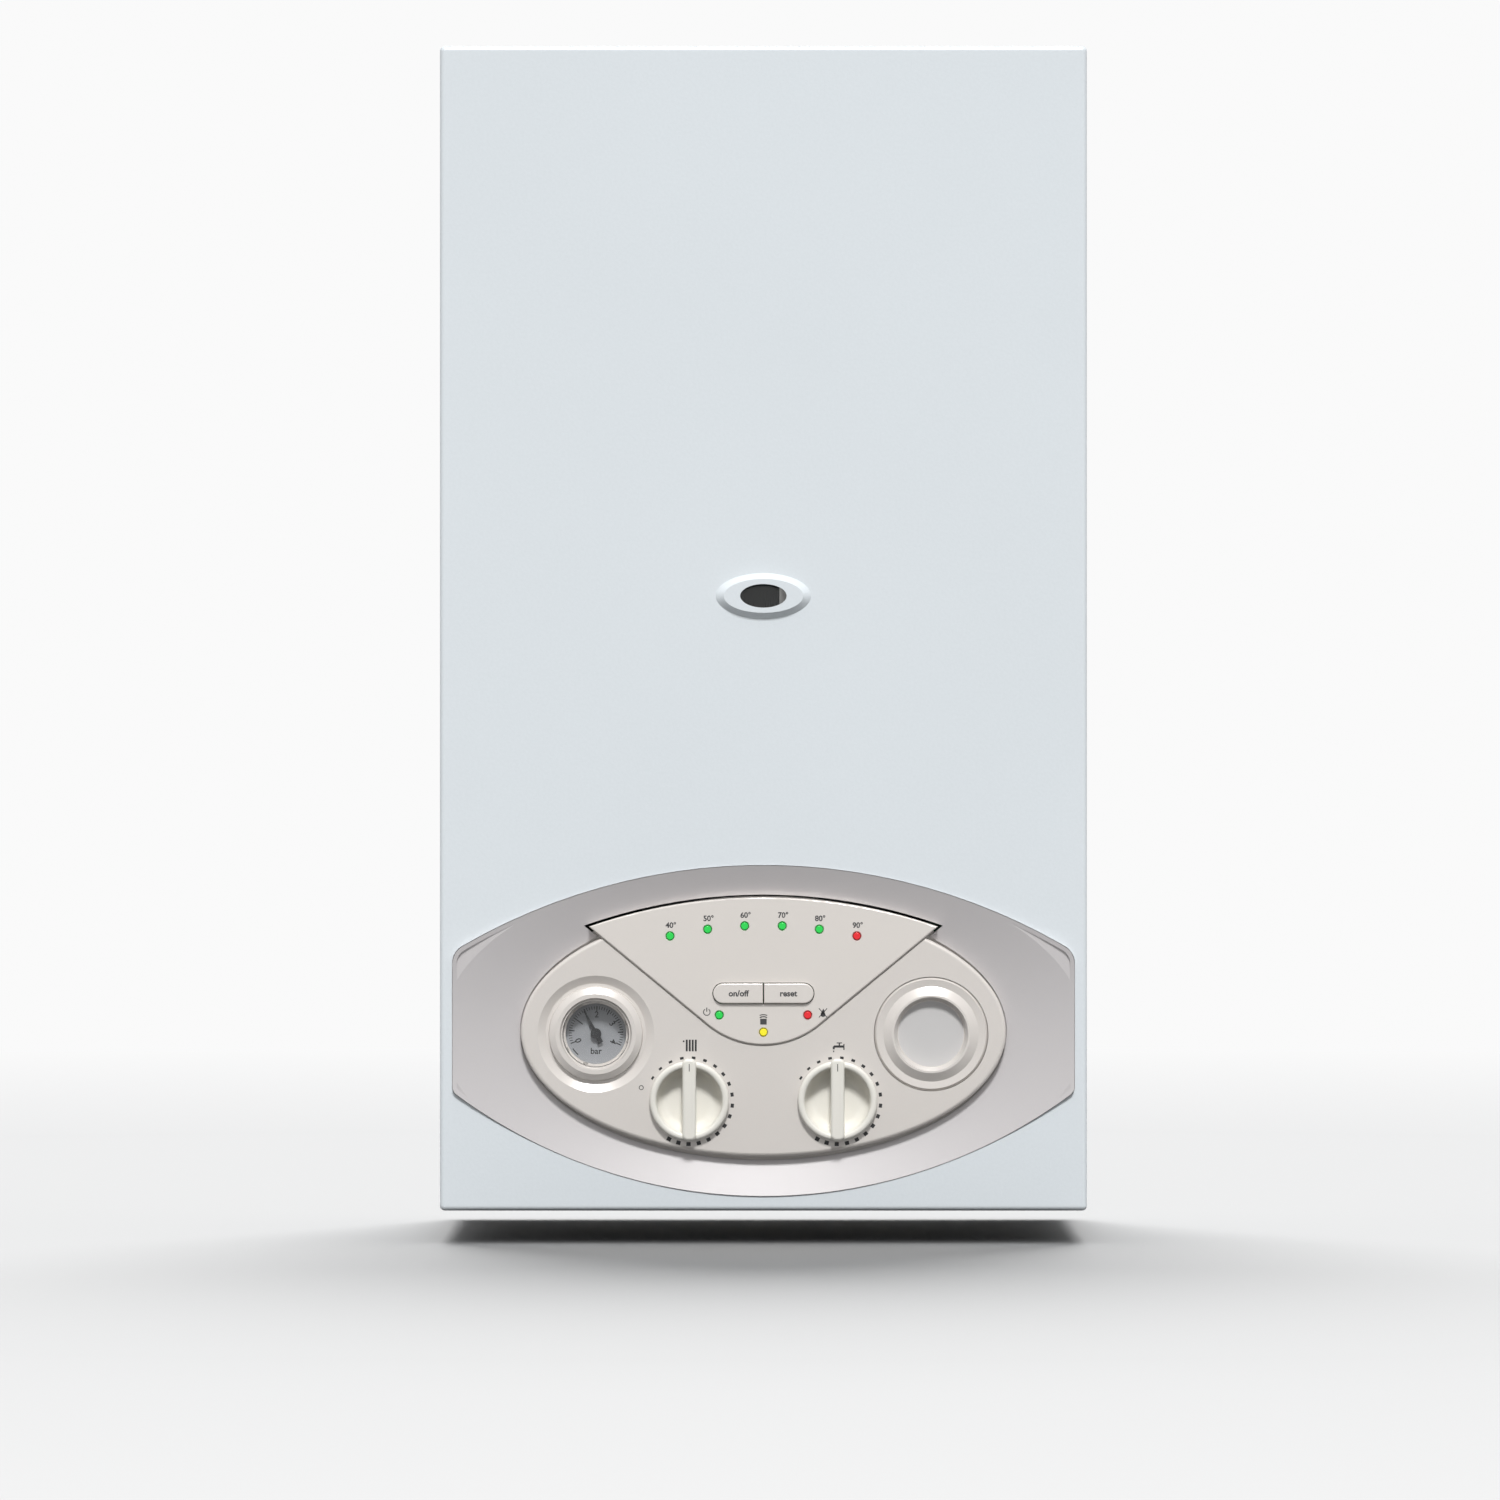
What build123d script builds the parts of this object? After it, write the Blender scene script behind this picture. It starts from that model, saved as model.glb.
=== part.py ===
from build123d import *
import math
import os

# A wall-hung combi boiler. The wall is the plane Y = 0, the boiler stands out towards -Y,
# Z is up from the underside of the casing, and X is to the right seen from the front.
# "Off the wall" in a name or comment is a distance along -Y. All sizes are millimetres.

# ------------------------------------------------------------------ casing
WIDTH = 400.0
HEIGHT = 720.0
DEPTH = 300.0               # wall to the face of the front cover
SHEET = 1.0                 # casing and chamber sheet
FIT = 0.3                   # gap between pieces that seat on each other
RUN = 0.05                  # radial clearance of a pin or shaft in its bore
COVER_RIM = 30.0            # reach of the cover's rim back from its face
COVER_BEND = 3.0
LIP_REACH = 24.0            # lip under the cover's rim
LIP_ROOT = 20.0             # part of a lip that lies on its panel
LIP_INSET = 20.0            # lip ends stay this far from the corners

FRAME_SHEET = 2.0
FRAME_INSET = 4.0           # back frame below the top
CHANNEL_DEPTH = 84.0        # frame channels that carry the sealed chamber
CHANNEL_LIP = 12.0
HANGING_SPACING = 260.0
HANGING_HOLE = 5.0          # radius
HANGING_BELOW_TOP = 23.0

TRAY_HEIGHT = 40.0          # underside of the tray above the casing's underside
TRAY_SETBACK = 74.0         # tray edge behind the cover's face
TRAY_FOLD = 15.0
FLANGE = 15.0               # rear flanges of panels, screwed to the back frame
SCREW_SHANK = 2.0           # radius
SCREW_HEAD = 4.0            # radius
SCREW_HEAD_HEIGHT = 2.0
PANEL_SCREW_LOW = 90.0
PANEL_SCREW_BELOW_TOP = 80.0
TRAY_SCREW_X = 90.0

# ------------------------------------------------------------------ sight hole
SIGHT_HEIGHT = 380.0
SIGHT_HOLE = (28.7, 14.6)
SIGHT_BOSS = (61.5, 30.2)
SIGHT_CREST = (49.0, 21.0)  # outline of the boss where it is highest
SIGHT_RISE = 3.8
SIGHT_GLASS = (60.0, 36.0, 4.0)
SIGHT_WINDOW = (28.0, 22.0)
SIGHT_WINDOW_SHIFT = -4.0
SIGHT_FRAME_THICK = 1.5

# ------------------------------------------------------------------ sealed chamber
CHAMBER_SIDE_GAP = 32.0     # chamber wall to the casing's side
CHAMBER_FLOOR = 256.0
CHAMBER_BELOW_TOP = 20.0
CHAMBER_SETBACK = 38.0      # chamber flange behind the cover's face
CHAMBER_FLANGE = 12.0
SEAL_THICK = 3.0
SEAL_WIDTH = 4.5
SEAL_INSET = 1.0
CHAMBER_SCREW_EDGE = 3.0
CHAMBER_SCREW_ROWS = 4

SHELL_SIDE_GAP = 43.0
SHELL_RISE = 29.0           # shell above the chamber's floor
SHELL_DROP = 180.0          # shell below the chamber's top
SHELL_SETBACK = 22.0        # shell behind the chamber's flange
BOARD = 10.0
BOARD_RISE = 67.0           # boards above the shell's floor
BOARD_DROP = 65.0           # boards below the shell's top

TUBE_DROP = 28.0            # tubes below the shell's top
TUBE_RADIUS = 7.0
TUBE_WALL = 1.0
TUBE_PITCH = 25.0
TUBE_PASSES = 5
TUBE_OVERHANG = 15.0        # straight tube past the shell before the bend's far side
TUBE_STUB = 6.0             # tube end past the shell
FIN_MARGIN = 20.0           # shell left free of fins
FIN_PITCH = 7.6
FIN_THICK = 0.6
FIN_SIZE = (124.0, 45.0)

BURNER_MARGIN = 40.0        # shell left free of burner bars
BURNER_PITCH = 16.0
BURNER_WIDTH = 10.0
BURNER_LIFT = 11.0          # burner bars above the shell's floor
BURNER_RISE = 32.0
BURNER_LENGTH = 140.0
BURNER_RAIL = (10.0, 8.0)
BURNER_RAIL_PITCH = 110.0
AIR_SLOT_HEIGHT = 22.0
MANIFOLD_LIFT = 16.0        # manifold above the shell's floor
MANIFOLD_SETBACK = 10.0     # manifold behind the chamber's flange
MANIFOLD_RADIUS = 8.0
MANIFOLD_END_GAP = 9.0      # manifold short of the shell's side
INJECTOR_RADIUS = 2.5
INJECTOR_LENGTH = 15.0
MANIFOLD_FOOT = 10.0
ELECTRODE_X = 18.0
ELECTRODE_LIFT = 10.0       # electrodes above the burner bars
ELECTRODE_RADIUS = 4.0
ELECTRODE_LENGTH = 16.0
ELECTRODE_TIP = 1.2
ELECTRODE_TIP_LENGTH = 24.0

# ------------------------------------------------------------------ flue and fan
FLUE_DEPTH = 150.0          # off the wall
FLUE_BORE = 30.0            # radius
FLUE_WALL = 1.5
AIR_RING = 50.0             # outer radius of the air inlet ring
AIR_RING_FLANGE = 8.0
FLUE_FOOT = (64.0, 2.0)
FAN_X = -22.0
FAN_DROP = 78.0             # fan axis below the chamber's top
FAN_RADIUS = 50.0
FAN_WIDTH = 48.0
FAN_WALL = 1.5
FAN_INLET = 28.0
FAN_OUTLET = 56.0
FAN_OUTLET_RISE = 54.0      # fan outlet above the fan's axis
FAN_WHEEL = 38.0
FAN_WHEEL_WIDTH = 32.0
FAN_BLADES = 24
FAN_BLADE = (1.2, 8.0)
FAN_SHAFT = 3.0
FAN_MOTOR_RADIUS = 27.0
FAN_MOTOR_LENGTH = 38.0
HOOD_SLOPE = 46.0           # height of the hood's sloping part
HOOD_WIDTH = 84.0
HOOD_ABOVE_FAN = 46.0       # hood above the fan's axis
SWITCH_RADIUS = 24.0
SWITCH_THICK = 27.0
SWITCH_ABOVE_FAN = 12.0     # pressure switch above the fan's axis
SENSE_TUBE = 2.5
SENSE_SPREAD = 12.0

# ------------------------------------------------------------------ water and gas
VESSEL_SIDE_GAP = 35.0
VESSEL_BELOW_TOP = 45.0
VESSEL_THICK = 68.0
VESSEL_CORNER = 60.0
VESSEL_ROUND = 18.0
VESSEL_FLOOR = 275.0
VESSEL_SEAM = (4.0, 2.0)
VESSEL_WALL = 1.5
GROUP_FLOOR = 60.0          # underside of the valve blocks
STUB_DEPTH = 112.0          # pipe centres off the wall
STUB_PITCH = 65.0
STUB_END = 12.0
STUB_WALL = 2.0
STUB_THREAD = 24.0          # threaded length of a stub
STUB_RELIEF = 0.6           # stub above its thread is this much slimmer
WIDE_STUB = 13.2            # radius of a G3/4 stub
SLIM_STUB = 10.5            # radius of a G1/2 stub
NUT_EXTRA = 5.0             # nut corner beyond the stub
BLOCK_WIDTH = 48.0
FLOW_BLOCK_TOP = 130.0
FLOW_BLOCK_EXTRA = 3.0      # flow block wider than the return block
RETURN_BLOCK_TOP = 100.0
LEG_WIDTH = 24.0
ARM_FLOOR = 80.0
ARM_TOP = 98.0
PLATE_STACK = (170.0, 45.0, 75.0)
PLATE_FLOOR = 72.0
PLATE_BACK = 33.0           # off the wall
DIVERTER = (38.0, 44.0, 46.0)
PUMP_X = 128.0
PUMP_HEIGHT = 150.0
PUMP_RADIUS = 42.0
PUMP_WIDTH = 44.0
PUMP_WALL = 10.0
PUMP_NECK = 20.0
PUMP_PORT = 12.0
PUMP_PORT_TOP = 196.0
PUMP_MOTOR_RADIUS = 40.0
PUMP_MOTOR_LENGTH = 70.0
PUMP_FLANGE = 6.0
PUMP_WHEEL = 27.0
PUMP_WHEEL_WIDTH = 14.0
PUMP_VANES = 6
PUMP_SHAFT = 4.0
VENT_X = 106.0
VENT_RADIUS = 11.0
VENT_LENGTH = 30.0
VENT_CAP = 5.0
PIPE_RADIUS = 8.5
PIPE_WALL_GAP = 22.0        # pipes inside the chamber's wall
PIPE_BEND = 14.0
PIPE_RISE = (175.0, 225.0)   # where the flow pipe leans forward
GAS_VALVE = (64.0, 62.0, 80.0)
SOLENOID_RADIUS = 15.0
SOLENOID_LENGTH = 40.0
GAS_PIPE_RADIUS = 6.0
GAS_PIPE_DEPTH = 120.0
GAS_PIPE_TURN = 236.0
VESSEL_PIPE_RADIUS = 4.0
VESSEL_PIPE_X = 104.0
VESSEL_PIPE_BEND = 10.0
VESSEL_PIPE_LOW = 120.0
RELIEF_X = 87.0
RELIEF_RADIUS = 11.0
RELIEF_LENGTH = 28.0
RELIEF_KNOB = (14.0, 16.0)
TAP_REACH = 66.0
TAP_RISE = 16.0
TAP_STEM_DEPTH = 152.0
TAP_KNOB = (13.0, 20.0)
TAP_STEM = 3.5
KNOB_GAP = 3.0              # knob clear of its valve body
FLUTES = 12
FLUTE_RADIUS = 2.0
GLAND_SIDE_GAP = 30.0
GLAND_DEPTH = 60.0
GLAND_RADIUS = 8.0
GLAND_BORE = 3.5
GLAND_FLANGE = 12.0
GLAND_DROP = 20.0

# ------------------------------------------------------------------ control panel
PANEL_SIDE_GAP = 8.0        # fascia to the casing's side
PANEL_TALL = 204.1
PANEL_FLOOR = 9.2
PANEL_TOP_ARC = 371.0
PANEL_FLOOR_ARC = 318.0
PANEL_TOP_CORNER = 12.0
PANEL_FLOOR_CORNER = 6.0
PANEL_GAP = 0.5             # between the cover's opening and the fascia
FASCIA_FLANGE = 2.0         # fascia's flange behind the edge of that opening
FASCIA_FLANGE_SINK = 1.6    # flange behind the cover's face
FASCIA_FLANGE_THICK = 1.8
FASCIA_SINK = 16.0          # fascia's back edge behind the cover's face
FASCIA_WALL = 2.5
DISH_RISE = 101.8           # centre of the dish above the fascia's foot
DISH_MOUTH = (215.0, 112.0)
DISH_MOUTH_RISE = 4.0       # dish's rim in front of the cover's face
DISH_FOOT_SINK = 6.0        # dish's foot behind it
OVAL = (150.0, 77.5)
OVAL_GAP = (0.5, 2.2)       # dish's foot round the oval panel, at its sides and its top
OVAL_PROUD = 1.0            # oval panel in front of the cover's face
OVAL_WALL = 3.0
OVAL_EDGE = 2.2
OVAL_SEAT = 6.0             # ring behind the fascia that the oval seats on
OVAL_SEAT_LIP = 1.5
SEAT_THICK = 2.0

SHIELD_RISE = 82.8          # shield above the dish's centre
SHIELD_TOP_ARC = 329.0
SHIELD_HALF = 107.8
SHIELD_SIDE_SLOPE = 39.5    # degrees down from the corner
SHIELD_BOWL = 53.8
SHIELD_PROUD = 1.3
SHIELD_SEAM = 0.9
SHIELD_NOTCH = 1.6
SHIELD_EDGE = 1.0
SHIELD_FLOOR_THICK = 3.0
SHIELD_MARGIN = 4.0

LIGHT_RADIUS = 2.3
LIGHT_GAP = 0.35
LIGHT_PROUD = 0.6
LIGHT_SINK = 0.8
SCALE_ARC = 260.0
SCALE_DROP = 17.5           # lamp row below the shield's top
SCALE_LIGHTS = (-57.7, -34.5, -11.6, 11.6, 34.5, 57.7)
STATUS_X = 27.3
STATUS_RISE = 18.3          # status lamps above the shield's foot
STATUS_LOW_RISE = 7.7
BUTTON_RISE = 31.7
BUTTON_PILL = (62.1, 12.4)
BUTTON_GAP = 0.5
BUTTON_SPLIT = 0.6
BUTTON_PROUD = 2.0
BUTTON_EDGE = 0.8
BUTTON_STROKE = 1.5
BUTTON_STEM = 3.0
BUTTON_X = 15.0

INSTRUMENT_X = 103.6
INSTRUMENT_DROP = 1.7       # gauge and cap below the dish's centre
GAUGE_GROOVE = 36.2
GAUGE_GROOVE_FOOT = 28.6
GAUGE_GROOVE_SINK = 2.4
GAUGE_CREST = 23.6
GAUGE_CREST_RISE = 2.0
GAUGE_WINDOW = 20.6
GAUGE_BACKING = 39.0
GAUGE_BACKING_THICK = 5.0
GAUGE_LENS_THICK = 1.5
GAUGE_LENS_SINK = 3.5
GAUGE_RIM = 1.5
GAUGE_RECESS = 6.0
GAUGE_CASE_DEEP = 43.0
NEEDLE_REST = -27.7         # degrees, clockwise from straight up
NEEDLE_HUB = 3.3
NEEDLE_SHAFT = 0.8
NEEDLE_LENGTH = 16.0
NEEDLE_TAIL = 6.5
NEEDLE_WIDTH = 1.6
NEEDLE_THICK = 0.6
NEEDLE_LIFT = 1.5           # needle in front of the dial
CAP_RADIUS = 35.0
CAP_GAP = 0.4
CAP_FOOT = 29.4
CAP_CREST = 23.5
CAP_INNER = 20.6
CAP_SINK = 6.0
CAP_PROUD = 0.4
CAP_CREST_PROUD = 2.6
CAP_DISC_SINK = 3.4

KNOB_X = 45.8
KNOB_DROP = 43.0            # knobs below the dish's centre
KNOB_RADIUS = 24.6
KNOB_TALL = 4.5             # rim in front of the oval panel
KNOB_DISH = 20.2
KNOB_DISH_SINK = 7.0        # bowl's floor behind the oval panel's face
KNOB_BOWL = 7.0             # radius between the bowl's floor and its wall
KNOB_WALL = 1.4
KNOB_GRIP_PROUD = 6.5
KNOB_BAR = 8.6
KNOB_LIFT = 0.5             # knob off the oval panel
KNOB_EDGE = 2.0
KNOB_BAR_END = 3.4          # corner radius of the grip bar
KNOB_POINTER = 1.6          # grip bar's upper end past the rim
KNOB_CUP_GAP = 0.6          # round the bowl in the oval panel
KNOB_SHAFT = 3.0
POT_SIZE = 18.0
POT_THICK = 9.0
POT_BUSH = 4.5

BOARD_SETBACK = 30.0        # circuit board behind the cover's face
BOARD_THICK = 1.6
CIRCUIT_X = (-76.0, 140.0)
CIRCUIT_DROP = 65.0
CIRCUIT_RISE = 67.0
SWITCH_BODY = (10.0, 6.0)
LIGHT_CHIP = 2.0
CHIP = (36.0, 14.0, 4.0)
CHIP_DROP = 21.0
HOUSING_SIDE_GAP = 14.0
HOUSING_LIFT = 2.8          # housing above the fascia's foot
HOUSING_DROP = 1.3          # housing below the fascia's top
HOUSING_SETBACK = 62.0
HOUSING_WALL = 2.5
HOUSING_MARGIN = (21.0, 25.0)  # housing rim left round its rear opening
POST_RADIUS = 4.0
POST_EDGE = 8.0
HINGE_SETBACK = 24.0
HINGE_LIFT = 10.0           # hinge above the housing's floor
HINGE_PIN = 3.0
HINGE_EAR = 8.0
HINGE_BLOCK = 20.0
HINGE_SIDE_GAP = 1.0
HINGE_ENGAGE = 6.0

# ------------------------------------------------------------------ derived places
HALF = WIDTH / 2
TRAY_DEPTH = DEPTH - TRAY_SETBACK
PANEL_SCREW_ROWS = (PANEL_SCREW_LOW, HEIGHT / 2, HEIGHT - PANEL_SCREW_BELOW_TOP)
CHAMBER_WIDTH = WIDTH - 2 * CHAMBER_SIDE_GAP
CHAMBER_TOP = HEIGHT - CHAMBER_BELOW_TOP
CHAMBER_FRONT = DEPTH - CHAMBER_SETBACK
SHELL_WIDTH = CHAMBER_WIDTH - 2 * SHELL_SIDE_GAP
SHELL_FLOOR = CHAMBER_FLOOR + SHELL_RISE
SHELL_TOP = CHAMBER_TOP - SHELL_DROP
SHELL_FRONT = CHAMBER_FRONT - SHELL_SETBACK
BOARD_FLOOR = SHELL_FLOOR + BOARD_RISE
BOARD_TOP = SHELL_TOP - BOARD_DROP
TUBE_HEIGHT = SHELL_TOP - TUBE_DROP
FIN_COUNT = int((SHELL_WIDTH - FIN_MARGIN) / FIN_PITCH)
BURNER_COUNT = int((SHELL_WIDTH - BURNER_MARGIN) / BURNER_PITCH)
BURNER_FLOOR = SHELL_FLOOR + BURNER_LIFT
AIR_SLOT = (BURNER_COUNT * BURNER_PITCH, AIR_SLOT_HEIGHT)
MANIFOLD_HEIGHT = SHELL_FLOOR + MANIFOLD_LIFT
MANIFOLD_DEPTH = CHAMBER_FRONT - MANIFOLD_SETBACK
MANIFOLD_LENGTH = SHELL_WIDTH - 2 * MANIFOLD_END_GAP
ELECTRODE_HEIGHT = BURNER_FLOOR + BURNER_RISE + ELECTRODE_LIFT
FAN_HEIGHT = CHAMBER_TOP - FAN_DROP
FAN_OUTLET_TOP = FAN_HEIGHT + FAN_OUTLET_RISE
HOOD_SHOULDER = SHELL_TOP + HOOD_SLOPE
HOOD_TOP = FAN_HEIGHT + HOOD_ABOVE_FAN
SWITCH_HEIGHT = FAN_HEIGHT + SWITCH_ABOVE_FAN
VESSEL = (WIDTH - 2 * VESSEL_SIDE_GAP, HEIGHT - VESSEL_FLOOR - VESSEL_BELOW_TOP, VESSEL_THICK)
PIPE_X = CHAMBER_WIDTH / 2 - PIPE_WALL_GAP
GLAND_X = WIDTH / 2 - GLAND_SIDE_GAP
PANEL_HALF = WIDTH / 2 - PANEL_SIDE_GAP
PANEL_TOP = PANEL_FLOOR + PANEL_TALL
DISH_HEIGHT = PANEL_FLOOR + DISH_RISE
FASCIA_BACK = DEPTH - FASCIA_SINK
DISH_MOUTH_DEPTH = DEPTH + DISH_MOUTH_RISE
DISH_FOOT_DEPTH = DEPTH - DISH_FOOT_SINK
OVAL_FACE = DEPTH + OVAL_PROUD
SHIELD_TOP = DISH_HEIGHT + SHIELD_RISE
SCALE_TOP = SHIELD_TOP - SCALE_DROP
SHIELD_SLOPE = math.radians(SHIELD_SIDE_SLOPE)
SHIELD_CORNER = SHIELD_TOP - SHIELD_TOP_ARC + math.sqrt(SHIELD_TOP_ARC**2 - SHIELD_HALF**2)
SHIELD_REACH = SHIELD_HALF * math.sin(SHIELD_SLOPE) - SHIELD_BOWL
SHIELD_BOWL_HEIGHT = SHIELD_CORNER - SHIELD_REACH / math.cos(SHIELD_SLOPE)
SHIELD_FOOT = SHIELD_BOWL_HEIGHT - SHIELD_BOWL
STATUS_HEIGHT = SHIELD_FOOT + STATUS_RISE
STATUS_LOW = SHIELD_FOOT + STATUS_LOW_RISE
BUTTON_HEIGHT = SHIELD_FOOT + BUTTON_RISE
INSTRUMENT_HEIGHT = DISH_HEIGHT - INSTRUMENT_DROP
GAUGE_LENS_DEPTH = OVAL_FACE - GAUGE_LENS_SINK
GAUGE_CASE_BACK = OVAL_FACE - GAUGE_CASE_DEEP
CAP_FLOOR = OVAL_FACE - CAP_SINK
CAP_FACE = OVAL_FACE + CAP_PROUD
CAP_CREST_DEPTH = OVAL_FACE + CAP_CREST_PROUD
CAP_DISC = OVAL_FACE - CAP_DISC_SINK
KNOB_HEIGHT = DISH_HEIGHT - KNOB_DROP
KNOB_RIM = OVAL_FACE + KNOB_TALL
KNOB_DISH_FLOOR = OVAL_FACE - KNOB_DISH_SINK
KNOB_CUP = KNOB_DISH + KNOB_WALL
KNOB_GRIP = OVAL_FACE + KNOB_GRIP_PROUD
BOARD_BACK = DEPTH - BOARD_SETBACK
CIRCUIT = (*CIRCUIT_X, DISH_HEIGHT - CIRCUIT_DROP, DISH_HEIGHT + CIRCUIT_RISE)
CHIP_HEIGHT = DISH_HEIGHT - CHIP_DROP
HOUSING_HALF = WIDTH / 2 - HOUSING_SIDE_GAP
HOUSING_FLOOR = PANEL_FLOOR + HOUSING_LIFT
HOUSING_TOP = PANEL_TOP - HOUSING_DROP
HOUSING_BACK = DEPTH - HOUSING_SETBACK
HOUSING_MOUTH = (2 * (HOUSING_HALF - HOUSING_MARGIN[0]), HOUSING_TOP - HOUSING_FLOOR - 2 * HOUSING_MARGIN[1])
HINGE_DEPTH = DEPTH - HINGE_SETBACK
HINGE_HEIGHT = HOUSING_FLOOR + HINGE_LIFT
SIDE_INNER = HALF - SHEET
SIDE_FACE = SIDE_INNER - FIT
COVER_BACK = DEPTH - COVER_RIM
PANEL_EDGE = COVER_BACK - FIT
CHAMBER_HALF = CHAMBER_WIDTH / 2
CHAMBER_MIDDLE = (CHAMBER_FLOOR + CHAMBER_TOP) / 2
CHAMBER_TALL = CHAMBER_TOP - CHAMBER_FLOOR
COVER_PLATE = CHAMBER_FRONT + SEAL_THICK
SHELL_BACK = CHANNEL_DEPTH + SHEET
SHELL_MIDDLE = (SHELL_BACK + SHELL_FRONT) / 2
SHELL_HALF = SHELL_WIDTH / 2
TUBE_FIRST = SHELL_MIDDLE - TUBE_PITCH * (TUBE_PASSES - 1) / 2
TUBE_LAST = TUBE_FIRST + TUBE_PITCH * (TUBE_PASSES - 1)
FAN_BACK = FLUE_DEPTH - FAN_WIDTH / 2
FAN_FRONT = FLUE_DEPTH + FAN_WIDTH / 2
PLATE_FRONT = PLATE_BACK + PLATE_STACK[1]
BLOCK_BACK = STUB_DEPTH - BLOCK_WIDTH / 2
BLOCK_FRONT = STUB_DEPTH + BLOCK_WIDTH / 2
LEG_FRONT = STUB_DEPTH + LEG_WIDTH / 2
TRAY_TOP = TRAY_HEIGHT + SHEET
PUMP_BACK = STUB_DEPTH - PUMP_WIDTH / 2
PUMP_FRONT = STUB_DEPTH + PUMP_WIDTH / 2
STUBS = (
    (-2 * STUB_PITCH, WIDE_STUB),
    (-STUB_PITCH, SLIM_STUB),
    (0.0, SLIM_STUB),
    (STUB_PITCH, SLIM_STUB),
    (2 * STUB_PITCH, WIDE_STUB),
)
SHIELD_FACE = OVAL_FACE + SHIELD_PROUD
SHIELD_SEAT = OVAL_FACE - OVAL_WALL
BOARD_FACE = BOARD_BACK + BOARD_THICK
LIGHT_BACK = BOARD_FACE + LIGHT_CHIP
POT_FACE = BOARD_FACE + POT_THICK
SWITCH_FACE = BOARD_FACE + SWITCH_BODY[1]
KNOB_BACK = OVAL_FACE + KNOB_LIFT
OVAL_SEAT_DEPTH = DISH_FOOT_DEPTH - FASCIA_WALL - OVAL_SEAT_LIP
SHIELD_BACK = SHIELD_SEAT - SHIELD_FLOOR_THICK
GAUGE_RIM_DEPTH = GAUGE_LENS_DEPTH - GAUGE_LENS_THICK
DIAL_FACE = GAUGE_RIM_DEPTH - GAUGE_RECESS
GAUGE_RADIUS = GAUGE_WINDOW - FIT
PIPE_WALL = PIPE_RADIUS - TUBE_RADIUS - RUN
HINGE_INNER = HOUSING_HALF + HINGE_SIDE_GAP


# ------------------------------------------------------------------ shapes to build with
def block(x, off_wall, z):
    """A box between two places on each axis; off_wall counts from the wall."""
    centre = Pos((x[0] + x[1]) / 2, -(off_wall[0] + off_wall[1]) / 2, (z[0] + z[1]) / 2)
    return centre * Box(x[1] - x[0], off_wall[1] - off_wall[0], z[1] - z[0])


def plate(outline, near, far):
    """An outline drawn as seen from the front, filled between two distances off the wall."""
    return extrude(Plane.XZ.offset(near) * outline, far - near)


def pin(x, z, radius, near, far):
    """A round bar square to the wall."""
    return plate(Pos(x, z) * Circle(radius), near, far)


def post(x, off_wall, radius, low, high):
    """A round upright bar."""
    return extrude(Plane.XY.offset(low) * Pos(x, -off_wall) * Circle(radius), high - low)


def rail(off_wall, z, radius, left, right):
    """A round bar across the boiler."""
    return extrude(Plane.YZ.offset(left) * Pos(-off_wall, z) * Circle(radius), right - left)


def pipe(route, bend, radius, wall):
    """A bent tube through points given as x, off the wall, z."""
    points = [(x, -off_wall, z) for x, off_wall, z in route]
    path = FilletPolyline(*points, radius=bend)
    start = Plane(origin=path @ 0, z_dir=path % 0)
    return sweep(start * (Circle(radius) - Circle(radius - wall)), path=path)


def turned(profile, x, z):
    """A profile of (radius, off the wall) points spun about an axis square to the wall."""
    outline = make_face(Polyline(*[(r, -off_wall, 0) for r, off_wall in profile], close=True))
    return Pos(x, 0, z) * revolve(outline, Axis.Y)


def group(solids):
    """Separate solids that share one name."""
    return Compound(children=list(solids))


def mirrored(solid):
    return mirror(solid, about=Plane.YZ)


def both_sides(solid):
    return group([solid, mirrored(solid)])


# ------------------------------------------------------------------ outlines
def fascia_outline(grow):
    """The eye shape of the fascia: two shallow arcs cut off by upright sides."""
    upper = Pos(0, PANEL_TOP - PANEL_TOP_ARC) * Circle(PANEL_TOP_ARC + grow)
    lower = Pos(0, PANEL_FLOOR + PANEL_FLOOR_ARC) * Circle(PANEL_FLOOR_ARC + grow)
    sides = Pos(0, DISH_HEIGHT) * Rectangle(2 * (PANEL_HALF + grow), 2 * PANEL_HALF)
    eye = upper & lower & sides
    corners = eye.vertices().sort_by(Axis.Y)
    eye = fillet(corners[2:], PANEL_TOP_CORNER + grow)
    corners = eye.vertices().sort_by(Axis.Y)
    return fillet(corners[:2], PANEL_FLOOR_CORNER + grow)


def oval(grow):
    return Pos(0, DISH_HEIGHT) * Ellipse(OVAL[0] + grow, OVAL[1] + grow)


def dish_foot():
    return Pos(0, DISH_HEIGHT) * Ellipse(OVAL[0] + OVAL_GAP[0], OVAL[1] + OVAL_GAP[1])


def shield_outline(grow):
    """The display shield: an arched top, sloping sides and a round bowl below."""
    corner_z = SHIELD_CORNER
    touch_x = SHIELD_BOWL * math.sin(SHIELD_SLOPE)
    touch_z = SHIELD_BOWL_HEIGHT - SHIELD_BOWL * math.cos(SHIELD_SLOPE)
    edge = [
        ThreePointArc((-SHIELD_HALF, corner_z), (0, SHIELD_TOP), (SHIELD_HALF, corner_z)),
        Line((SHIELD_HALF, corner_z), (touch_x, touch_z)),
        ThreePointArc((touch_x, touch_z), (0, SHIELD_BOWL_HEIGHT - SHIELD_BOWL), (-touch_x, touch_z)),
        Line((-touch_x, touch_z), (-SHIELD_HALF, corner_z)),
    ]
    face = make_face(edge)
    return offset(face, grow, kind=Kind.INTERSECTION) if grow else face


def button_outline(grow):
    length, height = BUTTON_PILL
    return Pos(0, BUTTON_HEIGHT) * SlotOverall(length + 2 * grow, height + 2 * grow)


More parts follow.
